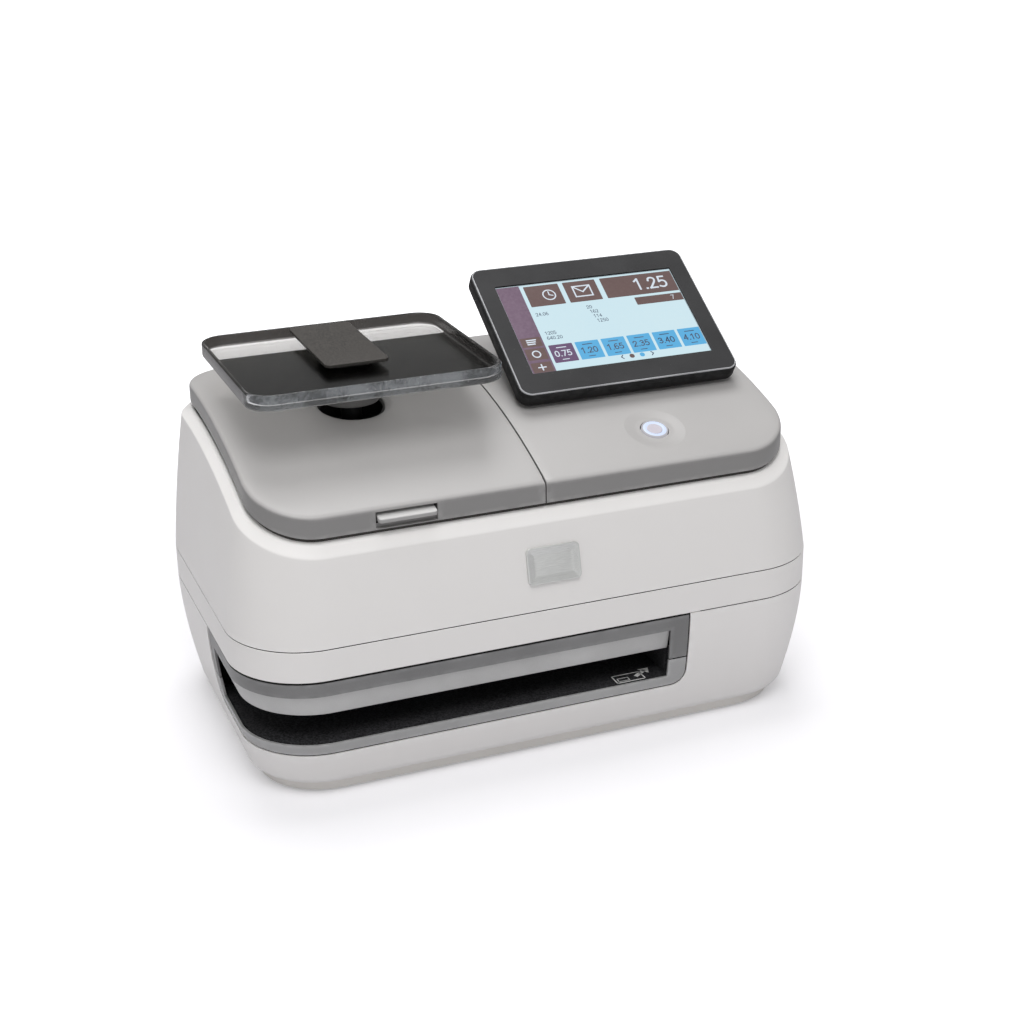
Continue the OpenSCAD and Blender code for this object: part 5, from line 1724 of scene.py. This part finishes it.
@dataclass(frozen=True)
class Scale:
    """Weighing tray with its ramp pad, stem and well, and the latch in the cover's lip.

    The stem's profile is pairs (radius, height).
    """

    crown: Crown
    centre: tuple[float, float] = (-86.5, 3.0)
    half: tuple[float, float] = (78.5, 69.25)
    corner: float = 16.0
    low: float = 230.0
    floor: float = 233.0
    rim: float = 240.0
    wall: float = 2.6
    foot_round: float = 2.4
    floor_round: float = 2.2
    pad_back: float = 69.5
    pad_half: tuple[float, float] = (20.0, 43.5)
    pad_tops: tuple[float, float] = (5.5, 6.9)
    pad_thick: float = 2.0
    pad_inset: tuple[float, float] = (8.0, 10.0)
    pad_sunk: float = 0.3
    pad_low: float = 233.05
    stem_profile: Line = ((0.0, 208.7), (16.5, 208.7), (17.4, 209.1), (17.8, 210.0), (17.9, 226.8), (18.4, 228.0),
                          (18.5, 229.4), (18.4, 229.9), (0.0, 229.9))
    well_low: float = 190.7
    well_floor: float = 1.8
    post_hole: float = 6.8
    latch_y: float = -91.5
    latch_z: float = 169.983
    tab: tuple[float, float] = (17.8, 6.7)
    tab_ahead: float = 6.75
    tab_slope: float = 0.21

    def tray(self) -> None:
        """Clear tray: rings of (inset, height) from the underside round the full-round rim to the floor."""
        r, s, half = self.foot_round, self.floor_round, 0.5 * self.wall
        under = arc(r, 270.0, 180.0, 6) + np.array((r, self.low + r))
        top = arc(half, 180.0, 0.0, 8) + np.array((half, self.rim - half))
        inner = arc(s, 180.0, 270.0, 6) + np.array((self.wall + s, self.floor + s))
        profile = np.concatenate((((6.0, self.low),), under, top, inner, ((8.0, self.floor),)))
        inset = profile[:, 0]
        plan = PlanPath.even(56.0, 46.0, 12.0, 16).rings(
            self.half[0] - inset, self.half[1] - inset, np.maximum(self.corner - inset, 5.0))
        rings = capped(lift(plan, profile[:, 1])) + np.array((*self.centre, 0.0))
        Surface("clear_tray").add(rings, closed=True).piece(SMOKE, Body.WEIGH_PLATE, "weigh_tray", sharp=50.0)

    def pad(self) -> None:
        """Ramp pad: a thin rounded plate whose height grows evenly along Y, on a foot set in under its edges."""
        half_x, half_y = self.pad_half
        plate = Slab(half_x, half_y, 4.0, 0.0, 1.0, 0.25, 0.3, steps=8).rings()
        in_x, in_y = self.pad_inset
        foot = Slab(half_x - in_x, half_y - in_y, 4.0, 0.0, 1.0, 0.02, 0.02, steps=8).rings()
        front, back = self.pad_tops
        tops = [front + (back - front) * (v[..., 1] + half_y) / (2 * half_y) for v in (plate, foot)]
        plate[..., 2] = tops[0] - self.pad_thick * (1.0 - plate[..., 2])
        foot[..., 2] *= tops[1] - self.pad_thick + self.pad_sunk
        surface = Surface("ramp_pad")
        for rings in (plate, foot):
            surface.add(rings + np.array((self.centre[0], self.pad_back - half_y, self.pad_low)), closed=True)
        surface.piece(PAD_DARK, Body.WEIGH_PLATE, "tray_pad", sharp=60.0)

    def stem(self) -> None:
        """Stem: a turned block with a small foot round and a flange under the tray."""
        surface = Surface("stem_block").add(lathe(self.stem_profile, 72, *self.centre), closed=True)
        surface.piece(STEM_DARK, Body.WEIGH_PLATE, "tray_stem", sharp=35.0)

    def well(self) -> None:
        """Black well: a turned cup with a post hole, whose collar follows the crown under the cover."""
        z, floor = self.well_low, self.well_low + self.well_floor
        foot = ((self.post_hole, z), (20.4, z), (20.9, z + 0.5))
        collar = np.array(((20.9, 4.6), (24.0, 4.6), (24.0, 2.5), (20.8, 2.5), (19.6, 2.5), (19.3, 2.9)))
        inside = ((19.3, z + 3.0), (18.2, floor), (self.post_hole, floor))
        on_crown = self.crown.raise_plan(lathe(collar, 72, *self.centre)[..., :2], collar[:, 1:])
        rings = (lathe(foot, 72, *self.centre), on_crown, lathe(inside, 72, *self.centre))
        surface = Surface("scale_well_cup").add(np.concatenate(rings), closed=True, tube=True)
        surface.piece(WELL_BLACK, Body.SCALE_LID, "scale_well", sharp=35.0)

    def latch(self) -> None:
        """Finger tab: a rounded bar on a barrel, whose top climbs to the rear by its slope, with a hook arm."""
        x, y, z = self.centre[0], self.latch_y, self.latch_z
        half_x, half_y = self.tab
        bar = Slab(half_x, half_y, 2.2, z - 1.2, z + 1.5, 0.8, 0.9, 6).at(x, y - self.tab_ahead)
        bar[..., 2] += self.tab_slope * (bar[..., 1] - y + self.tab_ahead + half_y) * (bar[..., 2] > z)
        surface = Surface("latch_tab").add(bar, closed=True)
        surface.add(barrel(1.28, 3.0, 19.1, 28) + np.array((x, y, z)), closed=True, tube=True)
        surface.add(Slab(8.0, 1.5, 0.4, z - 14.0, z - 1.4, 0.3, 0.3).at(x, y), closed=True)
        surface.add(Slab(8.0, 1.6, 0.4, z - 14.0, z - 12.0, 0.3, 0.3).at(x, y + 1.4), closed=True)
        surface.piece(LATCH_GREY, Body.LATCH, "latch_lever", sharp=40.0)

    def build(self) -> None:
        """All pieces of the scale."""
        for make in (self.tray, self.pad, self.stem, self.well, self.latch):
            make()


@dataclass(frozen=True)
class Badge:
    """Bare silver badge on the front, as pairs (inset, height) from its back edge to its sunk field."""

    form: BodyForm
    height: float = 129.0
    half: tuple[float, float] = (17.0, 11.1)
    corner: float = 3.0
    sunk: float = 0.05
    profile: Line = ((0.6, 0.0), (0.0, 0.1), (0.0, 1.5), (0.2, 1.8), (0.6, 1.88), (0.9, 1.82), (2.2, 1.42),
                     (3.4, 1.02), (4.6, 0.66), (4.9, 0.62), (6.2, 0.62))

    def build(self) -> None:
        """A plate with a rounded outline and a wide bevel that dips to a flat field, leaning as the wall does."""
        f = self.form
        rise = float(f.crown.height(-f.half_d, f.rim_drop)) - f.upper_seam
        t = (self.height - f.upper_seam) / rise
        lean = math.degrees(math.atan(f.rim_lean * (0.65 + 0.7 * t) / rise))
        inset, height = np.array(self.profile).T
        plan = PlanPath(steps=10).rings(self.half[0] - inset, self.half[1] - inset,
                                        np.maximum(self.corner - 0.75 * inset, 0.3))
        pose = Pose((0.0, -f.half_d + f.lean(t) - self.sunk, self.height), 90.0 - lean)
        surface = Surface("bare_badge").add(pose.world(capped(lift(plan, height))), closed=True)
        surface.piece(BADGE_SILVER, Body.HOUSING, "badge_plate", sharp=30.0)


class Tile(Enum):
    """Colours of what the screen shows."""

    SIDE = screen("side", (104, 80, 102), 0.5, (146, 124, 142))
    BROWN = screen("brown", (100, 78, 75), 0.4, (124, 102, 98))
    BLUE = screen("blue", (86, 175, 225), 0.2, (104, 186, 230))
    PURPLE = screen("purple", (100, 75, 110), 0.3, (124, 98, 130))
    PALE = screen("light", (216, 228, 240), 0.2)
    DARK = screen("dark", (44, 62, 92), 0.1)
    EDGE = screen("edge", (162, 178, 186), 0.2)


STROKES: dict[str, tuple[Line, ...]] = {
    "0": (((0.28, 1.0), (0.5, 0.86), (0.56, 0.5), (0.5, 0.14), (0.28, 0.0), (0.06, 0.14), (0.0, 0.5), (0.06, 0.86),
           (0.28, 1.0)),),
    "1": (((0.06, 0.8), (0.32, 1.0)), ((0.32, 1.0), (0.32, 0.0))),
    "2": (((0.02, 0.74), (0.1, 0.94), (0.3, 1.0), (0.5, 0.9), (0.52, 0.68), (0.36, 0.42), (0.02, 0.0)),
          ((0.02, 0.0), (0.56, 0.0))),
    "3": (((0.04, 0.86), (0.26, 1.0), (0.5, 0.88), (0.48, 0.64), (0.24, 0.54)),
          ((0.24, 0.54), (0.52, 0.44), (0.56, 0.2), (0.3, 0.0), (0.02, 0.1))),
    "4": (((0.42, 0.0), (0.42, 1.0)), ((0.42, 1.0), (0.0, 0.3)), ((0.0, 0.3), (0.58, 0.3))),
    "5": (((0.5, 1.0), (0.1, 1.0)), ((0.1, 1.0), (0.06, 0.54)),
          ((0.06, 0.54), (0.26, 0.62), (0.48, 0.54), (0.56, 0.32), (0.48, 0.1), (0.26, 0.0), (0.02, 0.08))),
    "6": (((0.48, 0.95), (0.28, 1.0), (0.08, 0.8), (0.0, 0.45), (0.06, 0.12), (0.28, 0.0), (0.5, 0.1), (0.56, 0.3),
           (0.48, 0.5), (0.28, 0.58), (0.04, 0.42)),),
    "7": (((0.0, 1.0), (0.56, 1.0)), ((0.56, 1.0), (0.2, 0.0))),
    ".": (((0.06, 0.0), (0.1, 0.0)),),
}


CARD_LIFT, KEY_LIFT, LINE_LIFT = 0.03, 0.045, 0.06


@dataclass
class ScreenView:
    """What the screen shows: plain tiles, small pictures and numerals, all flat strips and rounded cards.

    Places are taken from the middle of the display's face.
    """

    pose: Pose
    middle: float
    glass: float = -1.2
    notes: tuple[tuple[str, float, float], ...] = (
        ("24.06", -43.0, 9.8), ("20", -7.0, 11.2), ("162", -6.0, 7.1), ("114", -5.0, 3.0), ("1250", -4.0, -1.1),
        ("1205", -42.6, -6.6), ("640.20", -42.6, -10.8))
    keys: tuple[str, ...] = ("0.75", "1.20", "1.65", "2.35", "3.40", "4.10")
    surfaces: dict[Tile, Surface] = field(init=False)

    def __post_init__(self) -> None:
        """Starts a surface for each colour."""
        self.surfaces = {tile: Surface(tile.value.name) for tile in Tile}

    def _put(self, tile: Tile, grid: Array, lifted: float) -> None:
        """Adds a flat grid just above the glass."""
        flat = lift(grid + np.array((0.0, self.middle)), self.glass + lifted)
        self.surfaces[tile].add(self.pose.world(flat))

    def card(self, tile: Tile, x: float, y: float, w: float, h: float, r: float = 0.5,
             up: float = CARD_LIFT) -> None:
        """Draws a rounded card.

        Args:
            tile: its colour.
            x: its left end.
            y: its lower end.
            w: its width.
            h: its height.
            r: its corners' radius.
            up: its height above the glass.
        """
        ring = PlanPath(steps=5).rings(w / 2, h / 2, r)[0] + np.array((x + w / 2, y + h / 2))
        ring = np.vstack((ring, ring[:1]))
        self._put(tile, np.stack((ring, np.broadcast_to(ring[:-1].mean(axis=0), ring.shape))), up)

    def line(self, tile: Tile, points: Line | list[tuple[float, float]], width: float) -> None:
        """Draws a strip along straight runs, or along a smooth curve where more than three points are given.

        Args:
            tile: its colour.
            points: the line's points.
            width: the strip's width.
        """
        p = np.array(points, float)
        for run in ([smooth(p)] if len(p) > 3 else [p[k:k + 2] for k in range(len(p) - 1)]):
            self._put(tile, ribbon(run, width), LINE_LIFT)

    def number(self, tile: Tile, text: str, x: float, y: float, size: float, weight: float = 0.13) -> None:
        """Draws a number in strokes.

        Args:
            tile: its colour.
            text: its figures and points.
            x: its left end.
            y: its foot.
            size: its height.
            weight: the strokes' width as a share of the height.
        """
        for mark in text:
            for stroke in STROKES[mark]:
                self.line(tile, [(x + size * u, y + size * v) for u, v in stroke], weight * size)
            x += size * (0.34 if mark == "." else 0.8)

    def ring(self, tile: Tile, x: float, y: float, r: float, width: float) -> None:
        """A round outline about a place."""
        self._put(tile, ribbon(arc(r, 0.0, 360.0, 32) + np.array((x, y)), width), LINE_LIFT)

    def side_bar(self) -> None:
        """Bar at the left with three buttons: a pile, a ring and a plus."""
        self.card(Tile.SIDE, -62.4, -37.4, 16.2, 74.8, 0.2)
        for y, h in ((-15.2, 7.8), (-26.2, 9.6), (-36.6, 8.2)):
            self.card(Tile.BROWN, -61.0, y, 13.6, h, up=KEY_LIFT)
        for k in range(3):
            self.card(Tile.PALE, -57.4, -13.4 + 1.7 * k, 5.6 + 0.7 * k, 1.0, 0.3, LINE_LIFT)
        self.ring(Tile.PALE, -54.2, -21.4, 2.6, 0.9)
        self.line(Tile.PALE, [(-56.6, -32.5), (-51.8, -32.5)], 0.9)
        self.line(Tile.PALE, [(-54.2, -34.7), (-54.2, -30.3)], 0.9)

    def top_tiles(self) -> None:
        """Tiles at the top: a clock, a letter and a large number, with a small one below it."""
        for x, w in ((-43.6, 24.2), (-16.2, 23.0), (10.4, 52.0)):
            self.card(Tile.BROWN, x, 17.8, w, 18.0)
        self.ring(Tile.PALE, -28.2, 26.8, 4.2, 0.9)
        self.line(Tile.PALE, [(-28.2, 29.6), (-28.2, 26.8), (-25.9, 26.0)], 0.8)
        for side in box_sides(-10.6, 22.4, 1.4, 31.4):
            self.line(Tile.PALE, side, 1.0)
        self.line(Tile.PALE, [(-10.6, 31.4), (-4.6, 26.2), (1.4, 31.4)], 1.0)
        self.number(Tile.PALE, "1.25", 33.0, 22.6, 9.0, 0.15)
        self.card(Tile.BROWN, 28.2, 9.2, 34.2, 6.6)
        self.number(Tile.PALE, "7", 54.0, 10.8, 3.4)

    def key_row(self) -> None:
        """Row of keys with numbers, the first one chosen, and the page marks below it."""
        for k, text in enumerate(self.keys):
            x = -44.4 + 18.1 * k
            ink, ground = (Tile.DARK, Tile.BLUE) if k else (Tile.PALE, Tile.PURPLE)
            self.card(ground, x, -30.6, 16.2, 15.0)
            self.number(ink, text, x + 2.4, -25.4, 4.3, 0.17)
            self.card(ink, x + 4.5, -18.6, 7.0, 0.7, 0.2, LINE_LIFT)
            self.card(ink, x + 5.6, -28.6, 4.8, 0.6, 0.2, LINE_LIFT)
        for x, tile in ((7.6, Tile.BROWN), (14.8, Tile.BLUE)):
            self.card(tile, x - 1.7, -34.4, 3.4, 3.4, 1.6)
        for x, tip in ((1.4, 0.2), (21.4, 22.6)):
            self.line(Tile.DARK, [(x, -31.3), (tip, -32.7), (x, -34.1)], 0.7)

    def build(self) -> None:
        """Lays out the tiles and makes one piece for each colour."""
        self.side_bar()
        self.top_tiles()
        for text, x, y in self.notes:
            self.number(Tile.DARK, text, x, y, 2.5, 0.15)
        self.key_row()
        for side in box_sides(-62.2, -37.2, 62.2, 37.2):
            self.line(Tile.EDGE, side, 0.45)
        for tile, surface in self.surfaces.items():
            surface.piece(tile.value, Body.DISPLAY, shell=False)


@dataclass(frozen=True)
class Display:
    """Tilted touch display: bezel, back, glass and what the screen shows.

    In its frame X runs along its width, Y up its face and Z out of the face. The bezel's and the back's lines are
    pairs (inset, height), and the window's are (growth past the screen, height).
    """

    pose: Pose = Pose((85.6, -40.87, 210.409), 32.4)
    half: tuple[float, float] = (75.6, 54.8)
    corner: float = 8.0
    screen: tuple[float, float] = (62.5, 37.5)
    path: PlanPath = PlanPath.even(64.0, 43.0, 13.0, 12)
    face: Line = ((0.0, -4.2), (0.0, -1.9), (0.15, -1.5), (0.75, -0.75), (1.15, -0.55), (1.5, 0.0), (1.9, 0.0),
                  (3.2, 0.0))
    window: Line = ((1.0, 0.0), (0.3, 0.0), (0.0, -0.25), (0.0, -1.15), (4.3, -1.15), (4.3, -4.2))
    bead: tuple[float, float, float] = (0.5, 1.25, -0.42)
    highlight_bead_foot: Line = ((0.8, -0.95), (1.7, -0.95))
    back_rim: Line = ((0.0, -4.5), (0.25, -4.25), (4.0, -4.25), (4.2, -5.0), (4.2, -9.8), (8.0, -9.8))
    back_round: float = 3.4
    back_low: float = -12.0
    knuckles_x: tuple[float, float] = (-30.0, 30.0)
    hinge: tuple[float, float] = (14.1, -17.5)
    pane: Slab = Slab(66.0, 41.0, 0.8, -4.15, -1.2, 0.2, 0.15)

    def _put(self, rings: Array) -> Array:
        """Rings about the face's middle, taken to the world."""
        return self.pose.world(rings + np.array((0.0, self.half[1], 0.0)))

    def _rings(self, profile: Array | Line) -> Array:
        """Carries pairs (inset, height) round the housing's outline.

        Args:
            profile: the pairs.

        Returns:
            A ring for each pair.
        """
        inset, height = np.array(profile).T
        plan = self.path.rings(self.half[0] - inset, self.half[1] - inset, np.maximum(self.corner - inset, 0.4))
        return lift(plan, height)

    def bezel(self) -> None:
        """Bezel: rings round the outline from its back edge over a thin chamfer to the face, then to the window."""
        ring = self.path.rings(*self.half, 0.6)[0]
        window = [lift(ring * (np.array(self.screen) + grow) / np.array(self.half), z) for grow, z in self.window]
        rings = np.concatenate((self._rings(self.face), np.stack(window)))
        surface = Surface("bezel_frame").add(self._put(rings), closed=True, tube=True)
        surface.piece(DISPLAY_BLACK, Body.DISPLAY, "display_bezel", sharp=25.0)

    def highlight_line(self) -> None:
        """Painted highlight round the face: a light half-round bead along its edge that stands in for light caught
        by the chamfer.
        """
        radius, inset, z = self.bead
        profile = np.concatenate((arc(radius, 0.0, 180.0, 6) + np.array((inset, z)), self.highlight_bead_foot))
        surface = Surface("bezel_highlight_line").add(self._put(self._rings(profile)), closed=True, tube=True)
        surface.piece(BEZEL_HIGHLIGHT, Body.DISPLAY, sharp=40.0)

    def back(self) -> None:
        """Back: a shallow tray with a big round at its rear edge, and the hinge's knuckles below it."""
        r, low = self.back_round, self.back_low
        turn = arc(r, 270.0, 180.0, 7) + np.array((r, low + r))
        profile = np.concatenate((((8.0, low),), turn, self.back_rim))
        surface = Surface("display_tray").add(self._put(capped(self._rings(profile))), closed=True)
        y, z = self.hinge
        for x in self.knuckles_x:
            knuckle = barrel(2.08, 4.5, 9.0, 32) + np.array((x, y, z))
            surface.add(self.pose.world(knuckle), closed=True, tube=True)
            arm = Slab(9.0, 3.6, 0.6, -17.4, -11.4, 0.3, 0.3).at(x, y + 0.6)
            surface.add(self.pose.world(arm), closed=True)
        surface.piece(DISPLAY_BLACK, Body.DISPLAY, "display_back", sharp=35.0)

    def build(self) -> None:
        """All pieces of the display."""
        self.bezel()
        self.highlight_line()
        self.back()
        glass = Surface("screen_glass").add(self._put(self.pane.rings()), closed=True)
        glass.piece(SCREEN_PALE, Body.DISPLAY, "screen_panel", sharp=35.0)
        ScreenView(self.pose, self.half[1]).build()


@dataclass(frozen=True)
class PowerButton:
    """Power button: a lit ring with a pale rim round a grey cap, as pairs (radius, height) on its axis; the rim
    carries a painted glow of the ring's light.
    """

    axis: ButtonAxis
    ring_foot: Line = ((5.13, -6.0), (7.43, -6.0))
    rim_foot: Line = ((7.45, -4.6), (8.45, -4.6))
    shade_flange: Line = ((7.45, -6.0), (9.4, -6.0), (9.4, -4.65), (7.45, -4.65))
    cap: Line = ((0.0, -6.0), (4.8, -6.0), (4.9, -5.8), (4.9, -0.75), (4.75, -0.5), (4.3, -0.42), (3.0, -0.48),
                 (1.5, -0.53), (0.0, -0.55))

    def build(self) -> None:
        """Ring, a dark flange of painted shade in the gap round the rim, rim and cap, all turned: ring and rim have
        low half-round tops, the cap a shallow dish.
        """
        pose = self.axis.pose()
        glow = arc(1.0, 0.0, 180.0, 10) * np.array((1.15, 0.25)) + np.array((6.28, -0.5))
        crest = arc(1.0, 0.0, 180.0, 8) * np.array((0.5, 0.32)) + np.array((7.95, -0.62))
        for name, finish, profile, nodes in (
            ("lit_ring", BUTTON_LIGHT, np.concatenate((self.ring_foot, glow)), ("button_ring",)),
            # The flange is painted shade in the gap between the rim and the cover.
            ("ring_gap_shade", GAP_SHADE_BLACK, self.shade_flange, ()),
            ("ring_rim", BUTTON_RIM_GLOW, np.concatenate((self.rim_foot, crest)), ()),
        ):
            surface = Surface(name).add(pose.world(lathe(profile, 72)), closed=True, tube=True)
            surface.piece(finish, Body.BUTTON, *nodes, sharp=45.0)
        face = Surface("button_face").add(pose.world(lathe(self.cap, 64)), closed=True)
        face.piece(BUTTON_GREY, Body.BUTTON, "button_cap", sharp=40.0)


@dataclass(frozen=True)
class Viewpoint:
    """Camera at the photograph's angle."""

    lens: float = 61.25
    sensor: float = 36.0
    clip_end: float = 50.0
    azimuth: float = -21.468
    elevation: float = 21.628
    roll: float = -0.9085
    place: tuple[float, float, float] = (-369.7, -985.5, 538.5)

    def build(self) -> None:
        """Makes the camera and gives it to the scene."""
        az, el, roll = (math.radians(v) for v in (self.azimuth, self.elevation, self.roll))
        back = Vector((math.sin(az) * math.cos(el), -math.cos(az) * math.cos(el), math.sin(el)))
        right = Vector((math.cos(az), math.sin(az), 0.0))
        up = back.cross(right)
        across = math.cos(roll) * right + math.sin(roll) * up
        upward = math.cos(roll) * up - math.sin(roll) * right
        data = bpy.data.cameras.new("photo_camera")
        data.lens, data.sensor_width, data.clip_end = self.lens, self.sensor, self.clip_end
        camera = bpy.data.objects.new("photo_camera", data)
        turn = Matrix((across, upward, back)).transposed().to_4x4()
        camera.matrix_world = Matrix.Translation(Vector(self.place) * MM) @ turn
        bpy.context.scene.collection.objects.link(camera)
        bpy.context.scene.camera = camera


@dataclass(frozen=True)
class Lamp:
    """A square soft lamp: its place and width in metres, and its power in watts."""

    name: str
    place: tuple[float, float, float]
    size: float
    power: float


@dataclass(frozen=True)
class Studio:
    """Plain pale floor, white surround and soft lamps, in metres.

    The lamps are a key above and behind, one above the front, a low front fill and one at the left.
    """

    fill: float = 0.3
    floor_size: float = 6.0
    floor_colour: tuple[float, float, float, float] = (0.79, 0.782, 0.808, 1.0)
    floor_glow: float = 0.26
    floor_rough: float = 0.9
    far: tuple[float, float] = (0.34, 1.1)
    aim: tuple[float, float, float] = (0.0, 0.0, 0.12)
    lamps: tuple[Lamp, ...] = (
        Lamp("key_lamp", (0.1, 0.6, 2.2), 1.2, 24.0), Lamp("top_lamp", (-0.3, -1.0, 1.9), 1.2, 19.0),
        Lamp("front_lamp", (0.2, -2.3, 0.25), 1.3, 5.0), Lamp("left_lamp", (-2.0, -0.4, 0.9), 1.2, 3.5))

    @staticmethod
    def _seen(tree: Tree) -> Socket:
        """1 for rays that show the surround: camera rays and rays through clear pieces."""
        path = tree.add("ShaderNodeLightPath").outputs
        return tree.value("MAXIMUM", path["Is Camera Ray"], path["Is Transmission Ray"])

    def surround(self) -> None:
        """White surround: full white where it is seen, and a softer fill for the light it gives."""
        world = bpy.data.worlds.new("white_surround")
        world.use_nodes = True
        tree = Tree(world.node_tree)
        strength = tree.ramp(self._seen(tree), 0.0, 1.0, self.fill, 1.0)
        tree.feed(world.node_tree.nodes["Background"], {"Color": WHITE, "Strength": strength})
        bpy.context.scene.world = world

    def floor(self) -> None:
        """Floor: a wide plane that keeps the object's shadow and fades into the white surround."""
        mesh = bpy.data.meshes.new("pale_floor")
        corners = self.floor_size * np.array(((-1, -1, 0), (1, -1, 0), (1, 1, 0), (-1, 1, 0)))
        mesh.from_pydata(corners.tolist(), [], [[0, 1, 2, 3]])
        paint = Paint("pale_floor")
        away = paint.add("ShaderNodeVectorMath", {0: paint.place}, operation="LENGTH").outputs["Value"]
        glow = paint.product(self._seen(paint), paint.ramp(away, *self.far, self.floor_glow, 1.0))
        mesh.materials.append(paint.done({
            "Base Color": self.floor_colour, "Roughness": self.floor_rough, "Specular IOR Level": 0.0,
            "Emission Color": WHITE, "Emission Strength": glow}))
        floor = bpy.data.objects.new("pale_floor", mesh)
        bpy.context.scene.collection.objects.link(floor)

    def light(self) -> None:
        """Hangs the lamps, all turned to the machine."""
        for lamp in self.lamps:
            data = bpy.data.lights.new(lamp.name, "AREA")
            data.shape, data.size, data.energy = "SQUARE", lamp.size, lamp.power
            made = bpy.data.objects.new(lamp.name, data)
            turn = (Vector(self.aim) - Vector(lamp.place)).to_track_quat("-Z", "Y").to_matrix().to_4x4()
            made.matrix_world = Matrix.Translation(lamp.place) @ turn
            bpy.context.scene.collection.objects.link(made)

    def build(self) -> None:
        """The whole studio."""
        self.surround()
        self.floor()
        self.light()


def paint_nodes(nodes: dict[str, bpy.types.Object]) -> None:
    """Gives the solids that stay in view their finishes.

    Args:
        nodes: the solids by name.
    """
    for finish, names in CAD_FINISHES.items():
        for name in names:
            for slot in nodes[name].material_slots:
                slot.material = finish.material()
            LOG.info("%s takes %s", name, finish.name)


# Margin of the dark liner that paints shade into the gap round the slot's frame.
SHADE_LINER_MARGIN = 0.04


def main() -> None:
    """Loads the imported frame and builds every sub-assembly."""
    logging.basicConfig(level=logging.INFO, format="%(name)s: %(message)s")
    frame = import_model()
    Viewpoint().build()
    Studio().build()
    bpy.context.scene.view_settings.view_transform = "Standard"
    form, slot, hinge = BodyForm(), SlotForm(), Hinge()
    axis = ButtonAxis(form.crown)
    Shells(form, slot, LidForm(), hinge).build()
    SlotTrim(form, slot, SHADE_LINER_MARGIN).gap_shade_liner()
    trim = SlotTrim(form, slot)
    trim.frames()
    trim.throat()
    trim.mark()
    ScaleCover(form.crown, hinge).build()
    DisplayCover(form.crown, axis).build()
    Scale(form.crown).build()
    Badge(form).build()
    Display().build()
    PowerButton(axis).build()
    paint_nodes(frame["nodes"])


if __name__ == "__main__":
    main()
